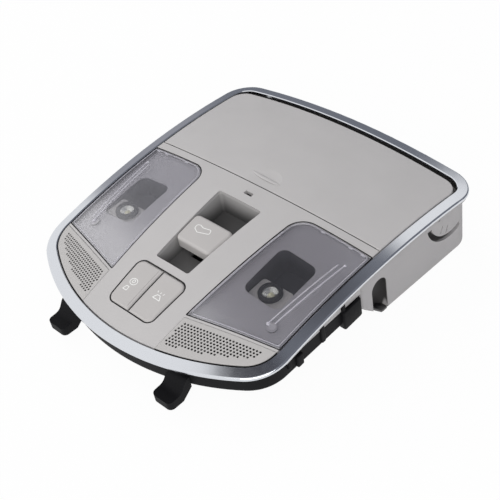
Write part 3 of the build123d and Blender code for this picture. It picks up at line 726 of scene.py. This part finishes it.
def even(path: np.ndarray, step: float, closed: bool) -> np.ndarray:
    """Points at even steps along a plan path, by interpolation over its length.

    Args:
        path: Rows of x, y.
        step: Step in millimetres.
        closed: Whether the last point joins the first.

    Returns:
        Rows of x, y; a closed path doesn't repeat its first point.
    """
    run = np.concatenate([path, path[:1]]) if closed else path
    length = np.concatenate([[0.0], np.cumsum(np.hypot(*np.diff(run, axis=0).T))])
    count = max(FEWEST_STEPS, int(round(length[-1] / step)))
    at = np.linspace(0.0, length[-1], count + 1)[: count if closed else count + 1]
    return np.stack([np.interp(at, length, run[:, k]) for k in (0, 1)], axis=-1)


def rounded(corners: np.ndarray, radii: Sequence[float]) -> np.ndarray:
    """Closed plan path round a polygon with rounded corners.

    Each corner's arc lies about the point on its bisector at radius over the sine of the half angle,
    and swings from one tangent point to the other by spherical interpolation of the two radius vectors.

    Args:
        corners: Rows of x, y.
        radii: Radius at each corner.

    Returns:
        Rows of x, y.
    """
    arcs = []
    share = np.linspace(0.0, 1.0, ARC_POINTS)[:, None]
    for k, radius in enumerate(radii):
        here = corners[k]
        back, ahead = corners[k - 1] - here, corners[(k + 1) % len(radii)] - here
        back, ahead = back / np.hypot(*back), ahead / np.hypot(*ahead)
        half = math.acos(float(np.clip(back @ ahead, -1, 1))) / 2
        middle = here + (back + ahead) / np.hypot(*(back + ahead)) * radius / math.sin(half)
        reach = radius / math.tan(half)
        first, last = here + back * reach - middle, here + ahead * reach - middle
        swing = math.pi - 2 * half
        arc = np.sin((1 - share) * swing) * first + np.sin(share * swing) * last
        arcs.append(middle + arc / math.sin(swing))
    return np.concatenate(arcs)


def shrunk(corners: np.ndarray, inset: float) -> np.ndarray:
    """Polygon moved inwards: each corner goes to where its two edges meet after both move by the inset.

    Args:
        corners: Rows of x, y, counterclockwise.
        inset: Distance in millimetres.

    Returns:
        Rows of x, y.
    """
    ahead = np.roll(corners, -1, axis=0) - corners
    ahead = ahead / np.hypot(ahead[:, 0], ahead[:, 1])[:, None]
    inward = np.stack([-ahead[:, 1], ahead[:, 0]], axis=-1)
    before = np.roll(inward, 1, axis=0)
    return corners + inset * (inward + before) / (1 + (inward * before).sum(axis=1))[:, None]


def bead(
    path: np.ndarray,
    width: float,
    height: float,
    rise: float = 0.0,
    closed: bool = False,
    pitch: float = 0.0,
    spindle: bool = False,
) -> Surface:
    """Half-round bead along a plan path over the crowned face.

    A point is the path's point plus half the width times the cosine of the profile angle along the
    path's side, and its rise gets the height times the sine, or a tenth of a millimetre below. Open
    ends shrink as the quarter circle of half a width, or a spindle shrinks all along as the half
    ellipse of its length. With a pitch, the height swells and falls as the squared sine of the length
    over it.

    Args:
        path: Rows of x, y at even steps.
        width: Width in millimetres.
        height: Height in millimetres.
        rise: Height of the carrying surface over the face.
        closed: Whether the path closes on itself.
        pitch: Length of one tooth, 0 for none.
        spindle: Whether an open bead narrows all the way to its ends.

    Returns:
        The bead's surface.
    """
    if closed:
        way = np.roll(path, -1, axis=0) - np.roll(path, 1, axis=0)
    else:
        way = np.gradient(path, axis=0)
    way = way / np.hypot(way[:, 0], way[:, 1])[:, None]
    aside = np.stack([way[:, 1], -way[:, 0]], axis=-1)
    step = np.hypot(*np.diff(path, axis=0).T)
    length = np.concatenate([[0.0], np.cumsum(step)])
    share = np.ones(len(path))
    if not closed:
        near = np.minimum(length, length[-1] - length)
        reach = length[-1] / 2 if spindle else width / 2
        share = np.sqrt(1 - (1 - np.minimum(near / reach, 1)) ** 2)
    swell = np.ones(len(path))
    if pitch:
        swell = TOOTH_FOOT + (1 - TOOTH_FOOT) * np.sin(math.pi * length / pitch) ** 2
    angle = np.linspace(0.0, 2 * math.pi, BEAD_POINTS, endpoint=False)
    sine = np.sin(angle)
    lift = np.where(sine > 0, sine * height * swell[:, None], sine * SINK)
    spread = share[:, None] * np.cos(angle) * width / 2
    plan = path[:, None, :] + spread[..., None] * aside[:, None, :]
    return Surface(FACE.over(plan, rise + share[:, None] * lift), closed)


def lathe(profile: Sequence[tuple[float, float]], at: Sequence[float], steps: int = 48) -> Surface:
    """Round piece about the face's upright axis.

    Each profile radius is turned by the angle, at the profile's depth.

    Args:
        profile: Radius and depth z in the face's frame, from pole to pole or closed.
        at: Plan x, y of the axis.
        steps: Points round.

    Returns:
        The turned surface.
    """
    rows = np.array(profile)
    angle = np.linspace(0.0, 2 * math.pi, steps, endpoint=False)
    x = at[0] + rows[:, :1] * np.cos(angle)
    y = at[1] + rows[:, :1] * np.sin(angle)
    z = np.broadcast_to(rows[:, 1:], x.shape)
    return Surface(FACE.turned(np.stack([x, y, z], axis=-1)))


def dot(at: Sequence[float], radius: float, height: float, rise: float) -> Surface:
    """Small dome on the crowned face: a quarter-circle profile turned about a plan point.

    Args:
        at: Plan x, y of its middle.
        radius: Radius in millimetres.
        height: Height in millimetres.
        rise: Height of the carrying surface over the face.

    Returns:
        The dome's surface, with a flat foot just below the carrying surface.
    """
    share = np.linspace(0.0, math.pi / 2, DOME_ROWS)
    out = np.concatenate([[0.0], np.cos(share) * radius])
    lift = np.concatenate([[-SINK, -SINK], np.sin(share[1:]) * height])
    angle = np.linspace(0.0, 2 * math.pi, DOME_POINTS, endpoint=False)
    turn = np.stack([np.cos(angle), np.sin(angle)], axis=-1)
    plan = np.array(at) + out[:, None, None] * turn[None, :, :]
    return Surface(FACE.over(plan, rise + np.broadcast_to(lift[:, None], plan.shape[:2])))


@dataclass
class MapLens:
    """Moulded detail of one map-lamp lens: rim, bar edges, teeth, clips and foot cap, and painted shade
    in its outer gap.
    """

    side: Side
    corners: Rows = ((30.2, -94.4), (83.3, -81.1), (84.9, -6.8), (36.6, -8.6))
    outline_step: float = 0.8
    radii: tuple[float, ...] = (1.2, 1.2, 1.2, 11.0)
    rim_inset: float = 1.3
    rim: Line = (0.5, 0.22, 0.0)
    bar_start: Pair = (71.0, -72.8)
    bar_end: Pair = (76.4, -21.6)
    bar_half: float = 1.45
    bar_line: Line = (0.8, 0.25, 0.6)
    bar_dots: tuple[Line, ...] = ((1.1, 0.6, 0.3), (0.9, 0.6, 0.3))
    bar_step: float = 0.4
    tooth_ends: Rows = ((0.55, 1.5), (-0.3, -14.0))
    tooth: Line = (0.5, 0.2, -0.06)
    tooth_pitch: float = 0.9
    tooth_step: float = 0.15
    clip_x: tuple[float, ...] = (54.0, 72.5, 80.5)
    clip: Line = (1.0, 0.25, 0.0)
    clip_half: float = 1.5
    clip_lean: float = 0.1
    clip_inset: float = 2.0
    clip_step: float = 0.25
    back_slope: float = 0.037
    cap: Line = (3.3, 0.1, -1.75)
    gap: float = 0.3
    gap_radii: tuple[float, ...] = (0.4, 0.4, 0.4, 12.3)
    gap_line: Line = (0.72, 0.05, -0.15)

    def plan(self, rows: Any) -> np.ndarray:
        """Plan rows on this lens's side of the car.

        Args:
            rows: Rows of x, y drawn for the right side.

        Returns:
            The rows, mirrored for the left side.
        """
        return np.array(rows, dtype=float) * np.array([self.side.value, 1.0])

    def add(self, name: str, surfaces: Sequence[Surface], finish: Any = LENS_EDGE) -> None:
        """Put a detail on the lens's body."""
        body = f"lens_{self.side.word}"
        assemble(f"{name}_{self.side.word}", surfaces, finish, body)

    def outline(self, inset: float, radii: Sequence[float]) -> np.ndarray:
        """Even path round the lens.

        Args:
            inset: Distance inside the lens's edge, negative outside it.
            radii: Radius at each corner.

        Returns:
            Rows of x, y on this lens's side.
        """
        corners = shrunk(np.array(self.corners), inset)
        return even(self.plan(rounded(corners, radii)), self.outline_step, True)

    def bar_edges(self) -> list[Surface]:
        """Bead on each side of the bar, shifted a millimetre along it, with a dome at one end.

        Returns:
            The beads' and the domes' surfaces.
        """
        start, end = np.array(self.bar_start), np.array(self.bar_end)
        along = (end - start) / np.hypot(*(end - start))
        shift = np.array([along[1], -along[0]]) * self.bar_half + along
        runs = [self.plan([start + sign * shift, end + sign * shift]) for sign in (-1, 1)]
        lines = [bead(even(run, self.bar_step, False), *self.bar_line) for run in runs]
        ends = (runs[0][0], runs[1][1])
        return lines + [dot(at, *size) for at, size in zip(ends, self.bar_dots)]

    def teeth(self) -> Surface:
        """Toothed bead along the straight part of the lens's inner edge.

        Returns:
            The bead's surface.
        """
        ends = np.array([self.corners[0], self.corners[3]]) + np.array(self.tooth_ends)
        path = even(self.plan(ends), self.tooth_step, False)
        return bead(path, *self.tooth, pitch=self.tooth_pitch)

    def clips(self) -> list[Surface]:
        """Short beads at an inset from the back edge, whose y grows with x by its slope.

        Returns:
            One surface for each clip.
        """
        corner_x, corner_y = self.corners[3]
        beads = []
        for x in self.clip_x:
            y = corner_y + (x - corner_x) * self.back_slope - self.clip_inset
            ends = [(x - self.clip_half, y), (x + self.clip_half, y + self.clip_lean)]
            beads.append(bead(even(self.plan(ends), self.clip_step, False), *self.clip))
        return beads

    def build(self) -> None:
        """Put the details and the foot's cap on the lens, and a dark line of painted shade along the gap
        on the console.
        """
        rim = bead(self.outline(self.rim_inset, self.radii), *self.rim, closed=True)
        self.add("lens_rim", [rim])
        self.add("lens_bar_edges", self.bar_edges())
        self.add("lens_teeth", [self.teeth()])
        self.add("lens_clips", self.clips())
        cap = dot(self.plan([self.bar_start])[0], *self.cap)
        self.add("lens_foot_cap", [cap], TRAY_CAP)
        # Painted shade: a near-black line along the gap round the lens.
        gap = bead(self.outline(-self.gap, self.gap_radii), *self.gap_line, closed=True)
        assemble(f"lens_gap_{self.side.word}", [gap], GAP_SHADE, "console")


@dataclass
class LampCup:
    """Bright cup and pale chip inside a lamp's clear optic.

    The chip's rows are a share of its radius and a height over the cup's floor.
    """

    side: Side
    axis_x: float = 57.7
    shift: float = -3.2
    axis_y: float = -55.5
    mouth: float = -11.0
    mouth_radius: float = 4.55
    lip: float = 0.35
    floor: float = -13.0
    base: float = 0.3
    seat: float = 0.6
    chip_radius: float = 1.7
    chip: Rows = ((0.0, -0.2), (1.0, -0.2), (1.0, 0.5), (0.8, 0.7), (0.75, 0.9), (0.0, 1.1))

    def build(self) -> None:
        """A shallow cone as the cup and a low dome with a step as the chip."""
        at = (self.side.value * self.axis_x + self.shift, self.axis_y)
        under, seat = self.floor - self.base, self.chip_radius + self.seat
        wall = [(0.0, under), (self.mouth_radius, under), (self.mouth_radius, self.mouth)]
        cone = [(self.mouth_radius - self.lip, self.mouth), (seat, self.floor), (0.0, self.floor)]
        assemble(f"led_cup_{self.side.word}", [lathe(wall + cone, at)], CUP, "console")
        chip = [(self.chip_radius * share, self.floor + lift) for share, lift in self.chip]
        assemble(f"led_chip_{self.side.word}", [lathe(chip, at)], CHIP, "console")


@dataclass
class Symbols:
    """Thin white signs: a lamp on each button and an open roof on the knob.

    The line is a width and a height, and an oval is its middle's x, y and its two half axes.
    """

    line: Pair = (0.5, 0.04)
    step: float = 0.2
    button_rise: float = 0.6
    oval_points: int = 40
    ring: tuple[float, ...] = (-10.4, -95.3, 2.5, 2.0)
    bulb: tuple[float, ...] = (-10.4, -95.1, 0.9, 0.9)
    door: Rows = ((-13.2, -101.6), (-12.2, -99.1), (-10.3, -99.1), (-10.3, -101.6))
    shade: Rows = ((6.4, -97.0), (11.6, -97.0), (10.0, -94.4), (8.0, -94.4))
    rays: tuple[Rows, ...] = (
        ((7.2, -93.4), (6.5, -92.1)),
        ((9.0, -93.4), (9.0, -92.1)),
        ((10.8, -93.4), (11.5, -92.1)),
    )
    roof: Rows = (
        (-7.4, -48.9),
        (-8.0, -46.3),
        (-5.8, -45.5),
        (-3.2, -46.4),
        (2.2, -45.3),
        (3.4, -48.2),
        (-4.2, -50.6),
    )
    roof_radii: tuple[float, ...] = (0.5, 1.2, 1.2, 1.6, 1.0, 1.0, 0.8)

    def stroke(self, rows: Any, rise: float, closed: bool = False) -> Surface:
        """One line of a sign.

        Args:
            rows: Rows of x, y.
            rise: Height of the carrying surface over the face.
            closed: Whether the line closes on itself.

        Returns:
            The line as a thin bead.
        """
        path = even(np.array(rows, dtype=float), self.step, closed)
        return bead(path, *self.line, rise, closed)

    def oval(self, size: Sequence[float]) -> Surface:
        """Oval line on a button: the middle plus each half axis times the angle's cosine or sine.

        Args:
            size: Middle x, y and half axes along x and y.

        Returns:
            The line as a thin bead.
        """
        x, y, half_x, half_y = size
        angle = np.linspace(0.0, 2 * math.pi, self.oval_points, endpoint=False)
        rows = np.stack([x + half_x * np.cos(angle), y + half_y * np.sin(angle)], axis=-1)
        return self.stroke(rows, self.button_rise, True)

    def build(self) -> None:
        """Draw the three signs on their moving pieces."""
        left = [self.oval(self.ring), self.oval(self.bulb)]
        left.append(self.stroke(self.door, self.button_rise, True))
        assemble("button_sign_left", left, INK, "button_left")
        right = [self.stroke(self.shade, self.button_rise, True)]
        right += [self.stroke(ray, self.button_rise) for ray in self.rays]
        assemble("button_sign_right", right, INK, "button_right")
        roof = self.stroke(rounded(np.array(self.roof), self.roof_radii), 0.0, True)
        assemble("knob_sign", [roof], INK, "sunroof_knob")


@dataclass
class ButtonGroove:
    """Dark line of painted shade for a fine groove beside the left button's inner edge."""

    front: Pair = (-2.3, -108.6)
    back: Pair = (-2.5, -82.6)
    line: Line = (0.22, 0.03, 0.585)
    step: float = 0.4

    def build(self) -> None:
        """A flat dark line of painted shade on the button's crown."""
        path = even(np.array([self.front, self.back]), self.step, False)
        assemble("button_groove", [bead(path, *self.line)], GROOVE_SHADE, "button_left")


@dataclass
class PanelGaps:
    """Dark shadow gaps round and between the buttons."""

    corners: Rows = ((-16.6, -110.3), (16.6, -110.3), (18.6, -81.2), (-18.6, -81.2))
    corner: float = 4.5
    gap: float = 0.45
    line: Line = (0.7, 0.03, 0.0)
    split: Line = (0.5, 0.05, 0.0)
    split_inset: float = 0.2
    step: float = 0.5

    def build(self) -> None:
        """A thin dark line along the panel's edge of the gap, and one down the middle."""
        radii = [self.corner + self.gap] * len(self.corners)
        path = even(rounded(shrunk(np.array(self.corners), -self.gap), radii), self.step, True)
        front, back = self.corners[0][1] + self.split_inset, self.corners[2][1] - self.split_inset
        split = even(np.array([(0.0, front), (0.0, back)]), self.step, False)
        lines = [bead(path, *self.line, closed=True), bead(split, *self.split)]
        assemble("button_gap", lines, GAP_SHADE, "console")


@dataclass
class LidSeam:
    """Dark line of painted shade in the bowed seam before the lid, and the lid's shallow thumb mark."""

    middle_y: float = -3.4
    bow: float = 1115.0
    half_width: float = 83.5
    points: int = 120
    line: Line = (0.66, 0.05, -0.3)
    mark: Rows = ((-12.8, 5.2), (-7.0, 4.1), (-1.2, 3.7), (5.0, 3.6), (10.7, 3.8))
    mark_size: Line = (2.6, 0.22, 0.0)
    mark_step: float = 0.4

    def build(self) -> None:
        """Draw the seam's painted shade on the console and the mark on the lid.

        The seam's y is its middle plus the bow's radius, less the root of the radius squared less x
        squared.
        """
        x = np.linspace(-self.half_width, self.half_width, self.points)
        y = self.middle_y + self.bow - np.sqrt(self.bow**2 - x**2)
        # Painted shade along the seam.
        seam = bead(np.stack([x, y], axis=-1), *self.line)
        assemble("lid_seam", [seam], GAP_SHADE, "console")
        mark = bead(even(np.array(self.mark), self.mark_step, False), *self.mark_size, spindle=True)
        assemble("lid_thumb_mark", [mark], PANEL, "lid")


@dataclass
class ChannelWeb:
    """Sloping floor that closes the foot of the wiring channel in the bin's flank."""

    side: Side
    middle: Pair = (86.65, 20.0)
    radius: float = 6.6
    arc_points: int = 25
    face_x: float = 87.9
    edge_half: float = 6.4
    edge_points: int = 9
    chin: float = 22.15
    foot: float = 0.2
    thick: float = 1.5

    def build(self) -> None:
        """Half disc with a flat outer edge, closed to its middle below and one thickness above.

        Its height is the chin less y, and at least the foot's.
        """
        middle_x, middle_y = self.middle
        angle = np.linspace(0.5 * math.pi, 1.5 * math.pi, self.arc_points)
        arc_x, arc_y = middle_x + self.radius * np.cos(angle), self.radius * np.sin(angle)
        edge_y = np.linspace(-self.edge_half, self.edge_half, self.edge_points)
        x = np.concatenate([arc_x, np.full(self.edge_points, self.face_x)])
        y = middle_y + np.concatenate([arc_y, edge_y])
        share = np.array([0.0, 1.0, 1.0, 0.0])[:, None]
        x = 0.5 * (self.face_x + middle_x - self.radius) * (1 - share) + share * x
        y = middle_y * (1 - share) + share * y
        lift = np.array([0.0, 0.0, self.thick, self.thick])[:, None]
        z = np.maximum(self.chin - y, self.foot) + lift
        surface = Surface(np.stack([self.side.value * x, y, z], axis=-1) * MM)
        assemble(f"channel_web_{self.side.word}", [surface], CASE, "console")


@dataclass
class HousingLug:
    """Clip lug that hangs from the housing's flank, and the small clips beside it.

    A clip's row is its x, y, width, length, top and foot. The rows of the head and the toe are a share
    of the outline and a height over the block's top or foot.
    """

    side: Side
    middle: Pair = (88.3, -31.6)
    size: Pair = (4.4, 14.8)
    corner: float = 0.9
    corner_share: float = 0.6
    top: float = -20.0
    foot: float = -33.2
    clips: tuple[tuple[float, ...], ...] = (
        (87.6, -72.6, 2.6, 4.8, -22.0, -30.0),
        (87.7, -54.0, 2.4, 3.2, -15.0, -29.0),
        (87.4, -80.0, 2.4, 2.6, -17.5, -26.0),
        (88.4, -37.2, 2.6, 2.6, -13.5, -22.0),
    )
    head: Rows = ((0.0, 0.0), (0.94, 0.0), (1.0, -0.5))
    toe: Rows = ((1.0, 0.9), (0.93, 0.25), (0.8, 0.0), (0.0, 0.0))

    def block(self, middle: Sequence[float], size: Sequence[float], top: float, foot: float) -> Surface:
        """Rounded outline at several depths, drawn in at both ends to a point on its middle line.

        Args:
            middle: Plan x, y for the right side.
            size: Width and length.
            top: Depth of its top behind the face.
            foot: Depth of its foot.

        Returns:
            The block's surface.
        """
        half = np.array(size) / 2
        radius = min(self.corner, half[0] * self.corner_share)
        path = rounded(np.array([(-1, -1), (1, -1), (1, 1), (-1, 1)]) * half, [radius] * 4)
        head, toe = np.array(self.head), np.array(self.toe)
        shares = np.concatenate([head[:, 0], toe[:, 0]])
        depths = np.concatenate([top + head[:, 1], foot + toe[:, 1]])
        at = np.array([self.side.value * middle[0], middle[1]])
        plan = shares[:, None, None] * path[None, :, :] + at
        z = np.broadcast_to(depths[:, None, None], (*plan.shape[:2], 1))
        return Surface(FACE.turned(np.concatenate([plan, z], axis=-1)))

    def build(self) -> None:
        """The lug, and the clips as one piece."""
        lug = self.block(self.middle, self.size, self.top, self.foot)
        assemble(f"housing_lug_{self.side.word}", [lug], BLACK, "console")
        clips = [self.block(row[:2], row[2:4], row[4], row[5]) for row in self.clips]
        assemble(f"housing_clips_{self.side.word}", clips, BLACK, "console")


@dataclass(frozen=True)
class WallPatch:
    """Part of the studio's walls round one direction.

    Its tone takes over where the cosine of the angle to the direction passes the edge, softly.
    """

    way: Way
    edge: float
    soft: float
    tone: Colour


@dataclass
class Studio:
    """Floor, lamps, white surroundings and the camera of the photograph.

    The camera's turn is azimuth, elevation and roll in degrees, and its focal length is in pixels of a
    picture of the given width.
    """

    eye: Way = (0.3538, -0.31457, 0.42649)
    turn: Way = (50.62, 43.85, -11.29)
    focal: float = 1064.6
    picture: float = 500.0
    sensor: float = 36.0
    clip: Pair = (0.01, 50.0)
    aim: Way = (0.0, 0.0, 0.03)
    floor_size: float = 12.0
    floor_z: float = -0.0005
    floor_tone: Colour = (0.86, 0.86, 0.86)
    white_share: float = 0.96
    wall_grey: Colour = (0.20, 0.21, 0.24)
    patches: tuple[WallPatch, ...] = (
        WallPatch((-0.78, 0.36, 0.51), 0.94, 0.04, (0.38, 0.38, 0.41)),
        WallPatch((-0.36, 0.27, 0.893), 0.978, 0.015, (0.07, 0.07, 0.08)),
        WallPatch((-0.312, -0.943, -0.12), -0.015, 0.05, WHITE),
        WallPatch((-0.159, 0.689, 0.707), 0.98, 0.009, WHITE),
        WallPatch((-0.23, -0.01, 0.973), 0.9955, 0.003, (0.05, 0.05, 0.06)),
    )

    def axes(self) -> np.ndarray:
        """Camera axes from azimuth, elevation and roll about the console's tilted face.

        Returns:
            Rows right, up and back.
        """
        a, e, r = np.radians(self.turn)
        back = np.array([math.sin(a) * math.cos(e), -math.cos(a) * math.cos(e), math.sin(e)])
        right = np.array([math.cos(a), math.sin(a), 0.0])
        up = np.cross(back, right)
        side, top = math.cos(r) * right + math.sin(r) * up, math.cos(r) * up - math.sin(r) * right
        return np.stack([side, top, back]) @ FACE.lean().T

    def camera(self) -> None:
        """Place the camera with no shift and no depth of field."""
        data = bpy.data.cameras.new("camera")
        data.lens = self.focal * self.sensor / self.picture
        data.sensor_width = self.sensor
        data.clip_start, data.clip_end = self.clip
        made = placed("camera", data)
        right, up, back = self.axes()
        turn = Matrix(np.stack([right, up, back], axis=1).tolist()).to_4x4()
        made.matrix_world = Matrix.Translation(self.eye) @ turn
        bpy.context.scene.camera = made

    def lamp(self, name: str, place: Way, size: float, power: float, mirrored: bool) -> None:
        """Soft square lamp that looks at the console.

        Args:
            name: Lamp's name.
            place: Where it stands, in metres.
            size: Side of its face.
            power: Watts.
            mirrored: Whether gloss shows it.
        """
        data = bpy.data.lights.new(name, "AREA")
        data.shape, data.size, data.energy = "SQUARE", size, power
        made = placed(name, data)
        made.visible_glossy = mirrored
        made.location = place
        made.rotation_mode = "QUATERNION"
        made.rotation_quaternion = (Vector(self.aim) - Vector(place)).to_track_quat("-Z", "Y")

    def floor(self) -> None:
        """Pale floor that looks white to the camera and keeps a soft shadow."""
        half, z = self.floor_size / 2, self.floor_z
        mesh = bpy.data.meshes.new("floor")
        corners = [(-half, -half, z), (half, -half, z), (half, half, z), (-half, half, z)]
        mesh.from_pydata(corners, [], [(0, 1, 2, 3)])
        made = placed("floor", mesh)
        paint = Paint("floor_white")
        seen = paint.node("ShaderNodeLightPath", output="Is Camera Ray")
        for ray in ("Is Glossy Ray", "Is Transmission Ray"):
            seen = seen + paint.node("ShaderNodeLightPath", output=ray)
        share = paint.node(
            "ShaderNodeMath",
            {"operation": "MINIMUM"},
            {0: seen * self.white_share, 1: self.white_share},
        )
        matt = paint.node("ShaderNodeBsdfDiffuse", None, {"Color": opaque(self.floor_tone)})
        glow = paint.node("ShaderNodeEmission", None, {"Color": opaque(WHITE), "Strength": 1.0})
        shader = paint.node("ShaderNodeMixShader", None, {0: share, 1: matt, 2: glow})
        mesh.materials.append(paint.close(shader))

    def surroundings(self) -> None:
        """White walls in front and grey ones behind, each patch blended over those before it."""
        paint = Paint("studio_walls", world=True)
        way = paint.node("ShaderNodeTexCoord", output="Generated")
        colour: Any = self.wall_grey
        for patch in self.patches:
            toward = paint.node(
                "ShaderNodeVectorMath",
                {"operation": "DOT_PRODUCT"},
                {0: way, 1: patch.way},
                output="Value",
            )
            colour = paint.blend(toward.above(patch.edge, patch.soft), colour, patch.tone)
        light = paint.node("ShaderNodeBackground", None, {"Color": colour, "Strength": 1.0})
        bpy.context.scene.world = paint.close(light)

    def build(self) -> None:
        """Set up camera, floor, surroundings and lamps."""
        bpy.context.scene.view_settings.view_transform = "Standard"
        self.camera()
        self.floor()
        self.surroundings()
        self.lamp("left_softbox", (-0.85, 0.15, 0.9), size=0.8, power=4.2, mirrored=False)
        self.lamp("right_softbox", (0.9, -0.9, 0.95), size=1.1, power=9.0, mirrored=True)


@dataclass
class CarriedNodes:
    """Pieces whose solid is shown as it is, listed by their finish."""

    names: dict[Any, str] = field(
        default_factory=lambda: {
            RING: "trim_ring",
            PANEL: "front_panel lid_panel panel_skirt",
            BUTTON: "button sunroof_knob",
            CASE: "bin_case",
            TRAY: "lid_tray",
            POCKET: "switch_tub",
            GRILLE: "grille",
            LENS: "lens",
            LAMP_TRAY: "reflector",
            LAMP_BLOCK: "led_block",
            OPTIC: "led_optic",
            BLACK: "rear_housing lid_damper latch_body sunroof_carriage sunroof_switch microphone "
            "connector_socket led_bezel map_switch button_switch",
            STEEL: "latch_striker knob_pin housing_screws hinge_pin",
            BOARD: "circuit_board led_board",
            FELT: "tray_liner acoustic_felt",
        }
    )

    def dress(self) -> None:
        """Give every node the finish of its name, without its side."""
        finishes = {stem: finish for finish, stems in self.names.items() for stem in stems.split()}
        for name, node in frame["nodes"].items():
            finish = finishes[name.removesuffix("_left").removesuffix("_right")]
            node.data.materials.clear()
            node.data.materials.append(material_of(finish))
            LOG.info("%s dressed in %s", name, finish.name)


def main() -> None:
    """Dress the solids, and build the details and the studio."""
    logging.basicConfig(level=logging.INFO, format="%(name)s: %(message)s")
    CarriedNodes().dress()
    for side in Side:
        MapLens(side).build()
        LampCup(side).build()
        HousingLug(side).build()
        ChannelWeb(side).build()
    Symbols().build()
    ButtonGroove().build()
    PanelGaps().build()
    LidSeam().build()
    Studio().build()


if __name__ == "__main__":
    main()
